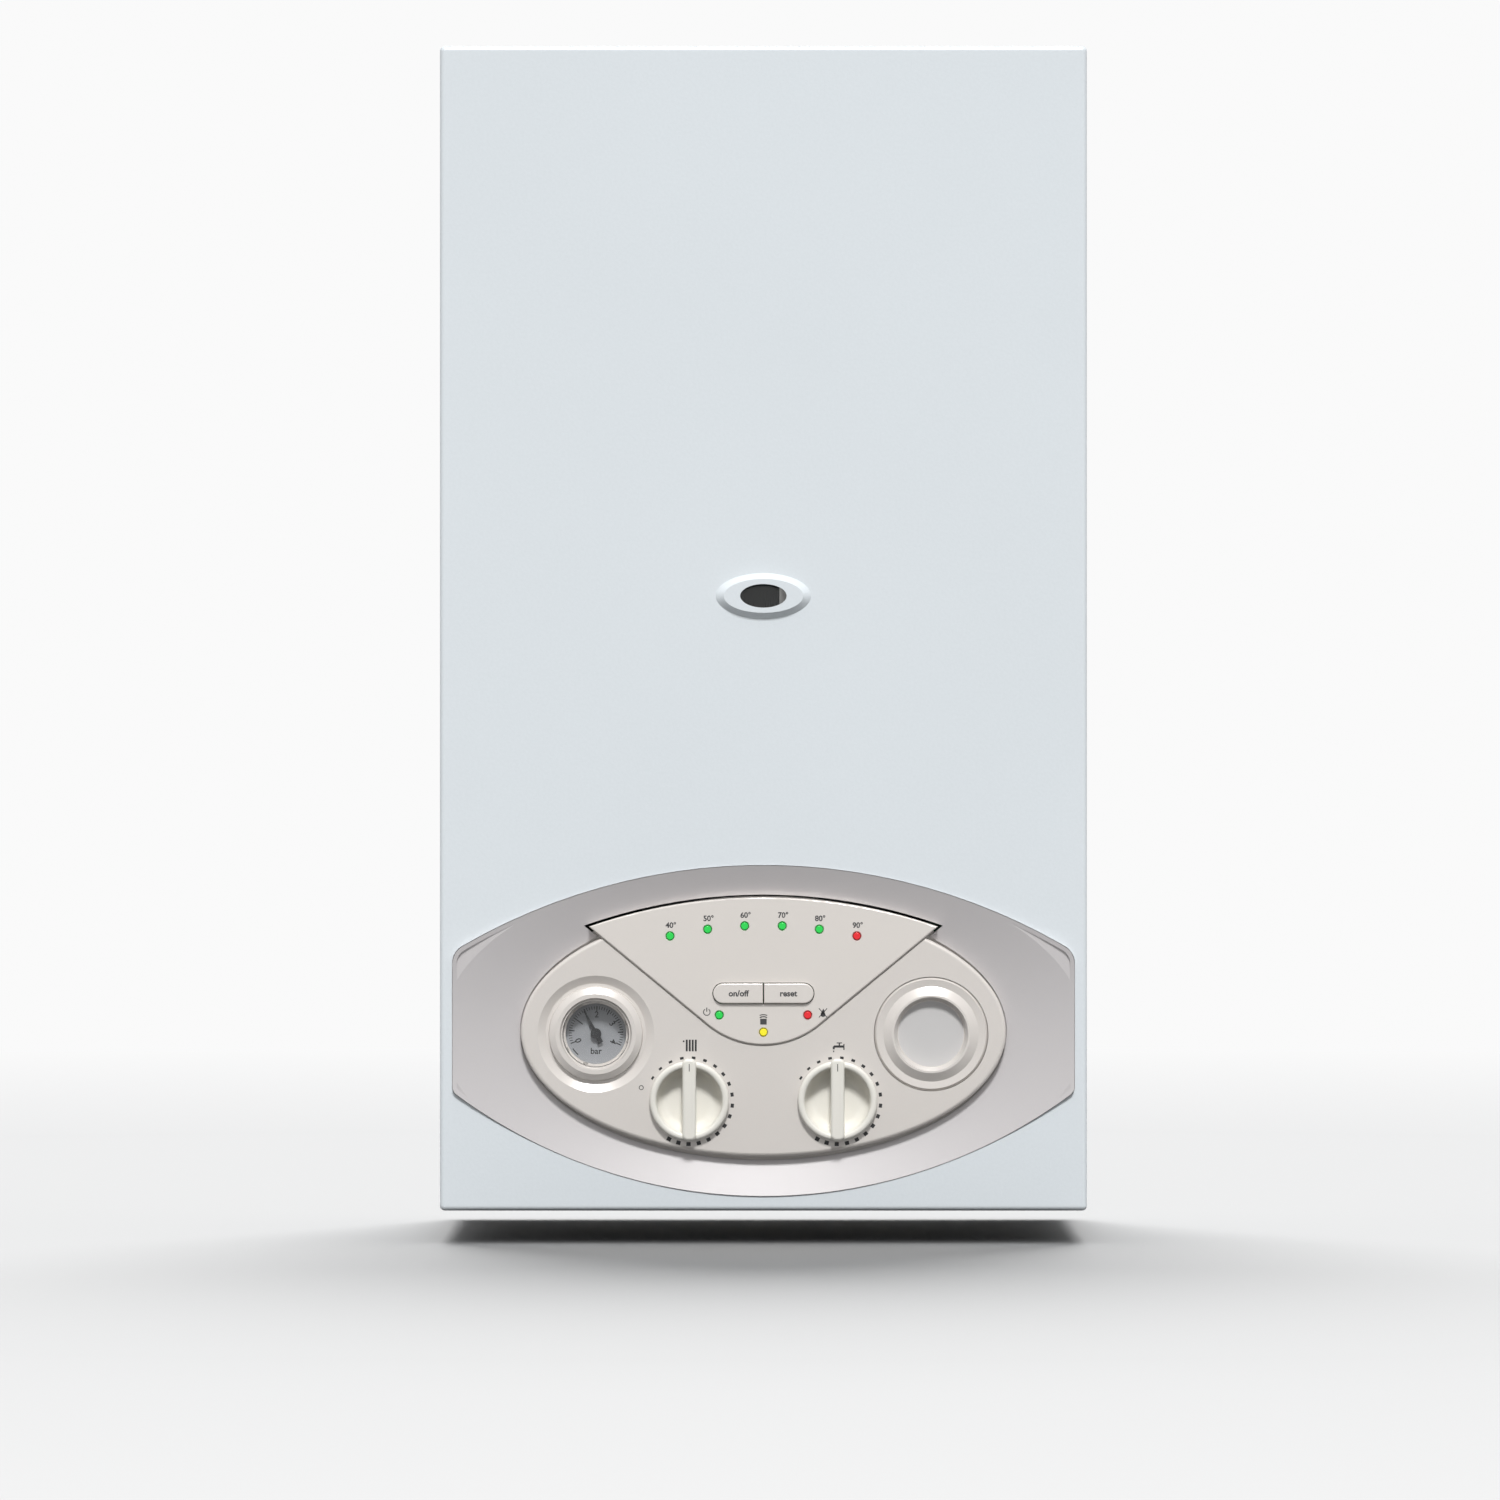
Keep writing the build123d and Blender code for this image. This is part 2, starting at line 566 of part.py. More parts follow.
# ------------------------------------------------------------------ casing
def back_frame():
    """Steel back plate with two folded channels that carry the sealed chamber."""
    high = HEIGHT - FRAME_INSET
    web = CHAMBER_HALF + CHANNEL_LIP + FRAME_SHEET
    frame = block((-SIDE_FACE, SIDE_FACE), (0, FRAME_SHEET), (0, high))
    channel_z = (CHAMBER_FLOOR, CHAMBER_TOP)
    channel = block((web - FRAME_SHEET, web), (FRAME_SHEET, CHANNEL_DEPTH), channel_z)
    lip_depth = (CHANNEL_DEPTH - FRAME_SHEET, CHANNEL_DEPTH)
    channel += block((web - CHANNEL_LIP, web), lip_depth, channel_z)
    frame += [channel, mirrored(channel)]
    for x in (-HANGING_SPACING / 2, HANGING_SPACING / 2):
        frame -= pin(x, HEIGHT - HANGING_BELOW_TOP, HANGING_HOLE, 0, FRAME_SHEET)
    for x, z in panel_screw_places() + tray_screw_places():
        frame -= pin(x, z, SCREW_SHANK + RUN, 0, FRAME_SHEET)
    return frame


def panel_screw_places():
    x = SIDE_INNER - FLANGE / 2
    return [(side * x, z) for side in (-1, 1) for z in PANEL_SCREW_ROWS]


def tray_screw_places():
    rows = (TRAY_TOP + TRAY_FOLD / 2, HEIGHT - SHEET - FLANGE / 2)
    return [(side * TRAY_SCREW_X, z) for side in (-1, 1) for z in rows]


def right_side_panel():
    """Side sheet with a rear flange, a set-in lip for the cover and the hinge block."""
    near = FRAME_SHEET
    panel = block((SIDE_INNER, HALF), (0, PANEL_EDGE), (0, HEIGHT))
    flange_z = (TRAY_TOP + TRAY_FOLD, HEIGHT - 2 * SHEET - FLANGE)
    panel += block((SIDE_INNER - FLANGE, SIDE_INNER), (near, near + SHEET), flange_z)
    root = PANEL_EDGE - LIP_ROOT
    lip_z = (HINGE_HEIGHT - HINGE_BLOCK / 2, HEIGHT - LIP_INSET)
    panel += block((SIDE_FACE - SHEET, SIDE_INNER), (root, PANEL_EDGE), lip_z)
    panel += block((SIDE_FACE - SHEET, SIDE_FACE), (root, PANEL_EDGE + LIP_REACH), lip_z)
    hinge_z = (HINGE_HEIGHT - HINGE_BLOCK / 2, HINGE_HEIGHT + HINGE_BLOCK / 2)
    hinge_depth = (HINGE_DEPTH - HINGE_BLOCK / 2, HINGE_DEPTH + HINGE_BLOCK / 2)
    panel += block((HINGE_INNER + HINGE_PIN, SIDE_FACE), hinge_depth, hinge_z)
    bore_end = HINGE_INNER + HINGE_PIN + HINGE_ENGAGE
    bore = rail(HINGE_DEPTH, HINGE_HEIGHT, HINGE_PIN + RUN, HINGE_INNER, bore_end)
    for x, z in panel_screw_places():
        panel -= pin(x, z, SCREW_SHANK + RUN, near, near + SHEET)
    return panel - bore


def hinge_pins():
    inner = HOUSING_HALF - HINGE_EAR
    outer = HINGE_INNER + HINGE_PIN + HINGE_ENGAGE
    return both_sides(rail(HINGE_DEPTH, HINGE_HEIGHT, HINGE_PIN, inner, outer))


def top_panel():
    """Top sheet with the flue opening, a rear flange and a lip under the cover."""
    near = FRAME_SHEET
    under = HEIGHT - SHEET
    panel = block((-SIDE_FACE, SIDE_FACE), (0, PANEL_EDGE), (under, HEIGHT))
    flange_x = SIDE_INNER - FLANGE - FIT
    panel += block((-flange_x, flange_x), (near, near + SHEET), (under - FLANGE, under))
    lip_x = SIDE_INNER - LIP_INSET
    lip_top = under - FIT
    root = PANEL_EDGE - LIP_ROOT
    panel += block((-lip_x, lip_x), (root, PANEL_EDGE), (lip_top - SHEET, under))
    lip_depth = (root, PANEL_EDGE + LIP_REACH)
    panel += block((-lip_x, lip_x), lip_depth, (lip_top - SHEET, lip_top))
    panel -= post(0, FLUE_DEPTH, AIR_RING + FIT, under, HEIGHT)
    for x, z in tray_screw_places():
        panel -= pin(x, z, SCREW_SHANK + RUN, near, near + SHEET)
    return panel


def bottom_tray():
    """Folded tray above the pipe tails, with a hole for each tail, the gland and the tap."""
    near = FRAME_SHEET
    tray = block((-SIDE_FACE, SIDE_FACE), (near, TRAY_DEPTH), (TRAY_HEIGHT, TRAY_TOP))
    flange_x = SIDE_INNER - FLANGE - FIT
    fold_top = TRAY_TOP + TRAY_FOLD
    tray += block((-flange_x, flange_x), (near, near + SHEET), (TRAY_TOP, fold_top))
    side = block((SIDE_FACE - SHEET, SIDE_FACE), (near, TRAY_DEPTH), (TRAY_TOP, fold_top))
    tray += [side, mirrored(side)]
    for x, radius in STUBS:
        tray -= post(x, STUB_DEPTH, radius + 2 * FIT, TRAY_HEIGHT, TRAY_TOP)
    tray -= post(STUB_PITCH, TAP_STEM_DEPTH, TAP_STEM + 2 * FIT, TRAY_HEIGHT, TRAY_TOP)
    tray -= post(GLAND_X, GLAND_DEPTH, GLAND_RADIUS + FIT, TRAY_HEIGHT, TRAY_TOP)
    for x, z in tray_screw_places():
        tray -= pin(x, z, SCREW_SHANK + RUN, near, near + SHEET)
    return tray


def cover_blank(inset):
    """The outer or the inner skin of the front cover's tray."""
    x = (-HALF + inset, HALF - inset)
    far = DEPTH - inset
    blank = block(x, (COVER_BACK, far), (inset, HEIGHT - inset))
    bent = blank.edges().filter_by(Axis.Y)
    bent += blank.faces().sort_by(Axis.Y)[0].edges()
    return fillet(bent, COVER_BEND - inset)


def sight_boss(inset):
    base = Ellipse(SIGHT_BOSS[0] / 2 - inset, SIGHT_BOSS[1] / 2 - inset)
    crest = Ellipse(SIGHT_CREST[0] / 2 - inset, SIGHT_CREST[1] / 2 - inset)
    start = DEPTH - SHEET - inset
    faces = [
        Plane.XZ.offset(start) * Pos(0, SIGHT_HEIGHT) * base,
        Plane.XZ.offset(DEPTH + SIGHT_RISE - inset) * Pos(0, SIGHT_HEIGHT) * crest,
    ]
    return loft(faces)


def front_cover():
    """Folded front cover with the eye-shaped opening and the raised sight hole."""
    cover = cover_blank(0) + sight_boss(0)
    cover -= cover_blank(SHEET)
    cover -= sight_boss(SHEET)
    cover -= plate(fascia_outline(PANEL_GAP), COVER_BACK, DEPTH + SHEET)
    hole = Pos(0, SIGHT_HEIGHT) * Ellipse(SIGHT_HOLE[0] / 2, SIGHT_HOLE[1] / 2)
    return cover - plate(hole, COVER_BACK, DEPTH + 2 * SIGHT_RISE)


def screw(x, z, seat, grip):
    """Pan-head screw with its head outside seat and its shank back through grip."""
    head = pin(x, z, SCREW_HEAD, seat, seat + SCREW_HEAD_HEIGHT)
    return head + pin(x, z, SCREW_SHANK, seat - grip, seat)


def chamber_screw_places():
    x = CHAMBER_HALF + CHAMBER_FLANGE - CHAMBER_SCREW_EDGE
    reach = CHAMBER_TALL / 2
    step = 2 * reach / (CHAMBER_SCREW_ROWS - 1)
    rows = [CHAMBER_MIDDLE - reach + i * step for i in range(CHAMBER_SCREW_ROWS)]
    return [(side * x, z) for side in (-1, 1) for z in rows]


def sheet_screws():
    seat = FRAME_SHEET + SHEET
    places = panel_screw_places() + tray_screw_places()
    screws = [screw(x, z, seat, seat) for x, z in places]
    seat = COVER_PLATE + SHEET
    grip = 2 * SHEET + SEAL_THICK
    screws += [screw(x, z, seat, grip) for x, z in chamber_screw_places()]
    return group(screws)


# ------------------------------------------------------------------ sealed chamber
def chamber_flange_outline():
    width = CHAMBER_WIDTH + 2 * CHAMBER_FLANGE
    height = CHAMBER_TALL + 2 * CHAMBER_FLANGE
    return Pos(0, CHAMBER_MIDDLE) * Rectangle(width, height)


def chamber_box():
    """Open-fronted steel box; its back plate is screwed to the frame's channels."""
    low, high = CHAMBER_FLOOR, CHAMBER_TOP
    inner = CHAMBER_HALF - SHEET
    near = CHANNEL_DEPTH
    box = block((-CHAMBER_HALF, CHAMBER_HALF), (near, CHAMBER_FRONT), (low, high))
    ear = CHAMBER_HALF + CHANNEL_LIP
    box += block((-ear, ear), (near, near + SHEET), (low, high))
    box += plate(chamber_flange_outline(), CHAMBER_FRONT - SHEET, CHAMBER_FRONT)
    box -= block((-inner, inner), (near + SHEET, CHAMBER_FRONT), (low + SHEET, high - SHEET))
    box -= post(0, FLUE_DEPTH, AIR_RING - FLUE_WALL, high - SHEET, high)
    box -= post(0, MANIFOLD_DEPTH, GAS_PIPE_RADIUS + FIT, low, low + SHEET)
    box -= post(-PIPE_X, TUBE_LAST, PIPE_RADIUS + FIT, low, low + SHEET)
    box -= post(PIPE_X, TUBE_FIRST, PIPE_RADIUS + FIT, low, low + SHEET)
    for x, z in chamber_screw_places():
        box -= pin(x, z, SCREW_SHANK + RUN, CHAMBER_FRONT - SHEET, CHAMBER_FRONT)
    return box


def chamber_seal():
    inner_x = CHAMBER_WIDTH + 2 * SEAL_INSET
    inner_z = CHAMBER_TALL + 2 * SEAL_INSET
    wide = 2 * SEAL_WIDTH
    ring = Rectangle(inner_x + wide, inner_z + wide) - Rectangle(inner_x, inner_z)
    return plate(Pos(0, CHAMBER_MIDDLE) * ring, CHAMBER_FRONT, COVER_PLATE)


def chamber_cover():
    cover = plate(chamber_flange_outline(), COVER_PLATE, COVER_PLATE + SHEET)
    cover -= plate(sight_window(), COVER_PLATE, COVER_PLATE + SHEET)
    for x, z in chamber_screw_places():
        cover -= pin(x, z, SCREW_SHANK + RUN, COVER_PLATE, COVER_PLATE + SHEET)
    return cover


def sight_window():
    return Pos(SIGHT_WINDOW_SHIFT, SIGHT_HEIGHT) * Rectangle(*SIGHT_WINDOW)


def sight_glass():
    width, height, thick = SIGHT_GLASS
    near = COVER_PLATE + SHEET
    return plate(Pos(0, SIGHT_HEIGHT) * Rectangle(width, height), near, near + thick)


def sight_frame():
    """Clamping frame in front of the glass, open over the window."""
    width, height, thick = SIGHT_GLASS
    near = COVER_PLATE + SHEET + thick
    outline = Pos(0, SIGHT_HEIGHT) * Rectangle(width, height)
    return plate(outline - sight_window(), near, near + SIGHT_FRAME_THICK)


def combustion_shell():
    """Steel shell round the burner and the heat exchanger, open above and below."""
    inner = SHELL_HALF - SHEET
    depth = (SHELL_BACK, SHELL_FRONT)
    shell = block((-SHELL_HALF, SHELL_HALF), depth, (SHELL_FLOOR, SHELL_TOP))
    inner_depth = (SHELL_BACK + SHEET, SHELL_FRONT - SHEET)
    shell -= block((-inner, inner), inner_depth, (SHELL_FLOOR, SHELL_TOP))
    for i in range(TUBE_PASSES):
        tube = TUBE_FIRST + i * TUBE_PITCH
        shell -= rail(tube, TUBE_HEIGHT, TUBE_RADIUS + RUN, -SHELL_HALF, SHELL_HALF)
    slot = Pos(0, MANIFOLD_HEIGHT) * Rectangle(*AIR_SLOT)
    shell -= plate(slot, SHELL_FRONT - SHEET, SHELL_FRONT)
    for x in (-ELECTRODE_X, ELECTRODE_X):
        shell -= pin(x, ELECTRODE_HEIGHT, ELECTRODE_RADIUS + RUN, SHELL_MIDDLE, SHELL_FRONT)
    return shell


def insulation_boards():
    """Four ceramic boards that line the shell above the burner."""
    x = SHELL_HALF - SHEET
    near, far = SHELL_BACK + SHEET, SHELL_FRONT - SHEET
    z = (BOARD_FLOOR, BOARD_TOP)
    side = block((x - BOARD, x), (near, far), z)
    back = block((-x + BOARD, x - BOARD), (near, near + BOARD), z)
    front = block((-x + BOARD, x - BOARD), (far - BOARD, far), z)
    return group([side, mirrored(side), back, front])


def exchanger_tubes():
    """One copper tube that passes back and forth through the fins."""
    reach = SHELL_HALF + TUBE_OVERHANG
    end = SHELL_HALF + TUBE_STUB
    route = [(end, TUBE_FIRST, TUBE_HEIGHT)]
    for i in range(TUBE_PASSES - 1):
        side = -1 if i % 2 == 0 else 1
        depth = TUBE_FIRST + i * TUBE_PITCH
        route.append((side * reach, depth, TUBE_HEIGHT))
        route.append((side * reach, depth + TUBE_PITCH, TUBE_HEIGHT))
    route.append((-end, TUBE_LAST, TUBE_HEIGHT))
    return pipe(route, TUBE_PITCH / 2 - RUN, TUBE_RADIUS, TUBE_WALL)


def exchanger_fins():
    outline = Rectangle(*FIN_SIZE)
    for i in range(TUBE_PASSES):
        offset_depth = (i - (TUBE_PASSES - 1) / 2) * TUBE_PITCH
        outline -= Pos(offset_depth, 0) * Circle(TUBE_RADIUS + RUN)
    fin = extrude(Plane.YZ * outline, FIN_THICK)
    first = -(FIN_COUNT - 1) / 2 * FIN_PITCH
    places = [Pos(first + i * FIN_PITCH, -SHELL_MIDDLE, TUBE_HEIGHT) for i in range(FIN_COUNT)]
    return group([place * fin for place in places])


def burner_bars():
    """A row of burner bars on two cross rails."""
    top = BURNER_FLOOR + BURNER_RISE
    depth = (SHELL_MIDDLE - BURNER_LENGTH / 2, SHELL_MIDDLE + BURNER_LENGTH / 2)
    bar = block((-BURNER_WIDTH / 2, BURNER_WIDTH / 2), depth, (BURNER_FLOOR, top))
    upper = bar.faces().sort_by(Axis.Z)[-1].edges().filter_by(Axis.Y)
    bar = fillet(upper, BURNER_WIDTH / 2 - FIT)
    hollow = BURNER_WIDTH / 2 - SHEET
    hollow_depth = (depth[0] + SHEET, depth[1] - SHEET)
    bar -= block((-hollow, hollow), hollow_depth, (BURNER_FLOOR + SHEET, top - BURNER_WIDTH / 2))
    rail_width, rail_height = BURNER_RAIL
    span = SHELL_HALF - SHEET
    burner = []
    for side in (-1, 1):
        middle = SHELL_MIDDLE + side * BURNER_RAIL_PITCH / 2
        rail_depth = (middle - rail_width / 2, middle + rail_width / 2)
        burner.append(block((-span, span), rail_depth, (BURNER_FLOOR - rail_height, BURNER_FLOOR)))
    first = -(BURNER_COUNT - 1) / 2 * BURNER_PITCH
    burner += [Pos(first + i * BURNER_PITCH, 0, 0) * bar for i in range(BURNER_COUNT)]
    return burner[0] + burner[1:]


def gas_manifold():
    """Gas bar with one injector for each burner bar, two feet and the pipe socket."""
    half = MANIFOLD_LENGTH / 2
    bar = rail(MANIFOLD_DEPTH, MANIFOLD_HEIGHT, MANIFOLD_RADIUS, -half, half)
    first = -(BURNER_COUNT - 1) / 2 * BURNER_PITCH
    tips = []
    for i in range(BURNER_COUNT):
        x = first + i * BURNER_PITCH
        near = MANIFOLD_DEPTH - INJECTOR_LENGTH
        tips.append(pin(x, MANIFOLD_HEIGHT, INJECTOR_RADIUS, near, MANIFOLD_DEPTH))
    foot_z = (MANIFOLD_HEIGHT - MANIFOLD_FOOT / 2, MANIFOLD_HEIGHT + MANIFOLD_FOOT / 2)
    foot = block((half - MANIFOLD_FOOT, half), (SHELL_FRONT, MANIFOLD_DEPTH), foot_z)
    socket_low = MANIFOLD_HEIGHT - 2 * MANIFOLD_RADIUS
    socket = post(0, MANIFOLD_DEPTH, MANIFOLD_RADIUS, socket_low, MANIFOLD_HEIGHT)
    return bar + tips + [foot, mirrored(foot), socket]


def electrodes():
    """Ignition and flame-sensing rods in ceramic sleeves."""
    near = SHELL_FRONT - ELECTRODE_TIP_LENGTH
    rods = []
    for x in (-ELECTRODE_X, ELECTRODE_X):
        z = ELECTRODE_HEIGHT
        seat = SHELL_FRONT - ELECTRODE_LENGTH / 4
        sleeve = pin(x, z, ELECTRODE_RADIUS, seat, seat + ELECTRODE_LENGTH)
        rods.append(sleeve + pin(x, z, ELECTRODE_TIP, near, seat))
    return group(rods)


# ------------------------------------------------------------------ flue and fan
def hood_skin(inset):
    """Outer or inner skin of the hood: a sloping shoulder and an upright riser."""
    low = SHELL_TOP
    base_depth = SHELL_FRONT - SHELL_BACK
    base = Pos(0, -SHELL_MIDDLE) * Rectangle(SHELL_WIDTH - 2 * inset, base_depth - 2 * inset)
    riser_depth = FAN_BACK - SHELL_BACK
    riser_place = Pos(FAN_X, -(SHELL_BACK + FAN_BACK) / 2)
    riser = riser_place * Rectangle(HOOD_WIDTH - 2 * inset, riser_depth - 2 * inset)
    skin = loft([Plane.XY.offset(low) * base, Plane.XY.offset(HOOD_SHOULDER) * riser])
    height = HOOD_TOP - inset - HOOD_SHOULDER
    return skin + extrude(Plane.XY.offset(HOOD_SHOULDER) * riser, height)


def flue_hood():
    hood = hood_skin(0) - hood_skin(SHEET)
    return hood - pin(FAN_X, FAN_HEIGHT, FAN_INLET, FAN_BACK - 2 * SHEET, FAN_BACK)


def fan_outline(inset):
    scroll = Pos(FAN_X, FAN_HEIGHT) * Circle(FAN_RADIUS - inset)
    rise = FAN_OUTLET_TOP - FAN_HEIGHT
    outlet = Pos(0, FAN_HEIGHT + rise / 2) * Rectangle(FAN_OUTLET - 2 * inset, rise)
    return scroll + outlet


def fan_housing():
    """Scroll of the exhaust fan: inlet behind, outlet up into the flue."""
    housing = plate(fan_outline(0), FAN_BACK, FAN_FRONT)
    housing -= plate(fan_outline(FAN_WALL), FAN_BACK + FAN_WALL, FAN_FRONT - FAN_WALL)
    housing -= pin(FAN_X, FAN_HEIGHT, FAN_INLET, FAN_BACK, FAN_BACK + FAN_WALL)
    bore = FAN_SHAFT + 2 * FIT
    return housing - pin(FAN_X, FAN_HEIGHT, bore, FAN_FRONT - FAN_WALL, FAN_FRONT)


def fan_impeller():
    """Cage wheel: back disc, hub, shaft, ring and a row of blades."""
    x, z = FAN_X, FAN_HEIGHT
    near = FLUE_DEPTH - FAN_WHEEL_WIDTH / 2
    far = FLUE_DEPTH + FAN_WHEEL_WIDTH / 2
    blade_thick, blade_deep = FAN_BLADE
    wheel = pin(x, z, FAN_WHEEL, far - FAN_WALL, far)
    ring = Circle(FAN_WHEEL) - Circle(FAN_WHEEL - blade_deep)
    wheel += plate(Pos(x, z) * ring, near, near + FAN_WALL)
    blades = []
    for i in range(FAN_BLADES):
        turn = Pos(x, z) * Rot(0, 0, i * 360 / FAN_BLADES)
        outline = turn * Pos(FAN_WHEEL - blade_deep / 2, 0) * Rectangle(blade_deep, blade_thick)
        blades.append(plate(outline, near, far))
    wheel += blades
    wheel += pin(x, z, 3 * FAN_SHAFT, FLUE_DEPTH, far)
    return wheel + pin(x, z, FAN_SHAFT, far, FAN_FRONT + FAN_MOTOR_LENGTH / 2)


def fan_motor():
    far = FAN_FRONT + FAN_MOTOR_LENGTH
    motor = pin(FAN_X, FAN_HEIGHT, FAN_MOTOR_RADIUS, FAN_FRONT, far)
    motor = fillet(motor.edges().sort_by(Axis.Y)[0], 3 * SHEET)
    bore_end = FAN_FRONT + FAN_MOTOR_LENGTH / 2 + FIT
    return motor - pin(FAN_X, FAN_HEIGHT, FAN_SHAFT + RUN, FAN_FRONT, bore_end)


def flue_spigot():
    """Exhaust tube inside the air inlet ring, joined by three spokes."""
    depth = FLUE_DEPTH
    outer = FLUE_BORE + FLUE_WALL
    size, thick = FLUE_FOOT
    tube = post(0, depth, outer, FAN_OUTLET_TOP, HEIGHT)
    foot_x = (-size / 2, size / 2)
    foot_depth = (depth - size / 2, depth + size / 2)
    tube += block(foot_x, foot_depth, (FAN_OUTLET_TOP, FAN_OUTLET_TOP + thick))
    ring = post(0, depth, AIR_RING, CHAMBER_TOP, HEIGHT)
    ring += post(0, depth, AIR_RING + AIR_RING_FLANGE, CHAMBER_TOP, CHAMBER_TOP + thick)
    ring -= post(0, depth, AIR_RING - FLUE_WALL, CHAMBER_TOP, HEIGHT)
    low, high = CHAMBER_TOP + thick, CHAMBER_TOP + 3 * thick
    spokes = []
    for i in range(3):
        middle = (outer + AIR_RING) / 2 - FLUE_WALL / 2
        spoke = Pos(middle, 0, (low + high) / 2) * Box(AIR_RING - outer, thick, high - low)
        spokes.append(Pos(0, -depth, 0) * Rot(0, 0, i * 120) * spoke)
    spigot = tube + ring + spokes
    return spigot - post(0, depth, FLUE_BORE, FAN_OUTLET_TOP, HEIGHT)


def air_pressure_switch():
    """Round switch on the chamber wall, with two sensing tubes to the fan."""
    left = -CHAMBER_HALF + SHEET
    right = left + SWITCH_THICK
    depth, z = FLUE_DEPTH, SWITCH_HEIGHT
    body = rail(depth, z, SWITCH_RADIUS, left, right)
    body = fillet(body.edges().sort_by(Axis.X)[-1], 3 * SHEET)
    gap = FAN_X - FAN_RADIUS - FIT
    middle = (right + gap) / 2
    tubes = []
    for side in (-1, 1):
        near = depth + side * SENSE_SPREAD
        route = [
            (right, near, z),
            (middle - SENSE_SPREAD, near, z),
            (middle + SENSE_SPREAD, near, FAN_HEIGHT),
            (gap, near, FAN_HEIGHT),
        ]
        tubes.append(pipe(route, SENSE_SPREAD, SENSE_TUBE, SHEET))
    return group([body] + tubes)


# ------------------------------------------------------------------ water and gas
def vessel_skin(inset):
    width, height, thick = VESSEL
    middle = VESSEL_FLOOR + height / 2
    near = FRAME_SHEET + inset
    shape = RectangleRounded(width - 2 * inset, height - 2 * inset, VESSEL_CORNER - inset)
    skin = plate(Pos(0, middle) * shape, near, FRAME_SHEET + thick - inset)
    ends = skin.faces().filter_by(Axis.Y)
    return fillet(ends.edges(), VESSEL_ROUND - inset)


def expansion_vessel():
    """Flat hollow expansion vessel with its welded seam, on the back plate."""
    width, height, thick = VESSEL
    middle = VESSEL_FLOOR + height / 2
    seam, seam_thick = VESSEL_SEAM
    wide = RectangleRounded(width + 2 * seam, height + 2 * seam, VESSEL_CORNER + seam)
    seam_near = FRAME_SHEET + thick / 2 - seam_thick / 2
    rim = plate(Pos(0, middle) * wide, seam_near, seam_near + seam_thick)
    return (vessel_skin(0) + rim) - vessel_skin(VESSEL_WALL)


def plate_exchanger():
    """Brazed plate stack between the two valve blocks."""
    width, thick, height = PLATE_STACK
    outline = Pos(0, PLATE_FLOOR + height / 2) * RectangleRounded(width, height, PLATE_BACK / 2)
    return plate(outline, PLATE_BACK, PLATE_FRONT)


def nut(x, off_wall, radius, low, high):
    place = Plane.XY.offset(low) * Pos(x, -off_wall)
    return extrude(place * RegularPolygon(radius, 6), high - low)


def pipe_stubs():
    """Five threaded tails with hexagon nuts that stand on the tray."""
    stubs = []
    for x, radius in STUBS:
        stub = post(x, STUB_DEPTH, radius, STUB_END, STUB_END + STUB_THREAD)
        stub += post(x, STUB_DEPTH, radius - STUB_RELIEF, STUB_END, GROUP_FLOOR)
        stub += nut(x, STUB_DEPTH, radius + NUT_EXTRA, TRAY_TOP, GROUP_FLOOR)
        stubs.append(stub - post(x, STUB_DEPTH, radius - STUB_WALL, STUB_END, GROUP_FLOOR))
    return group(stubs)


def valve_arm(inner, outer):
    """Arm of a valve block that lies against the plate exchanger."""
    return block((inner, outer), (PLATE_FRONT, LEG_FRONT), (ARM_FLOOR, ARM_TOP))


def flow_group():
    """Left valve block: heating flow, with the hot water leg."""
    outer = 2 * STUB_PITCH + BLOCK_WIDTH / 2 + FLOW_BLOCK_EXTRA
    inner = 2 * STUB_PITCH - BLOCK_WIDTH / 2
    leg = STUB_PITCH - LEG_WIDTH / 2
    body = block((-outer, -inner), (BLOCK_BACK, BLOCK_FRONT), (GROUP_FLOOR, FLOW_BLOCK_TOP))
    body = fillet(body.edges().filter_by(Axis.Z), 4 * SHEET)
    body += mirrored(valve_arm(leg, inner + BLOCK_WIDTH / 4))
    leg_depth = (STUB_DEPTH - LEG_WIDTH / 2, LEG_FRONT)
    body += block((-leg - LEG_WIDTH, -leg), leg_depth, (GROUP_FLOOR, ARM_FLOOR))
    return body


def diverter_motor():
    width, length, height = DIVERTER
    x = 2 * STUB_PITCH
    z = (FLOW_BLOCK_TOP + GROUP_FLOOR) / 2
    depth = (BLOCK_FRONT, BLOCK_FRONT + length)
    motor = block((-x - width / 2, -x + width / 2), depth, (z - height / 2, z + height / 2))
    return fillet(motor.edges().filter_by(Axis.Y), 4 * SHEET)


def return_group():
    """Right valve block: heating return, the pump's seat and the cold water leg."""
    outer = 2 * STUB_PITCH + BLOCK_WIDTH / 2
    inner = 2 * STUB_PITCH - BLOCK_WIDTH / 2
    leg = STUB_PITCH - LEG_WIDTH / 2
    body = block((inner, outer), (BLOCK_BACK, BLOCK_FRONT), (GROUP_FLOOR, RETURN_BLOCK_TOP))
    body = fillet(body.edges().filter_by(Axis.Z), 4 * SHEET)
    body += valve_arm(leg, inner + BLOCK_WIDTH / 4)
    leg_depth = (STUB_DEPTH - LEG_WIDTH / 2, LEG_FRONT)
    tap_top = GROUP_FLOOR + TAP_RISE
    return body + block((leg, leg + LEG_WIDTH), leg_depth, (tap_top, ARM_FLOOR))


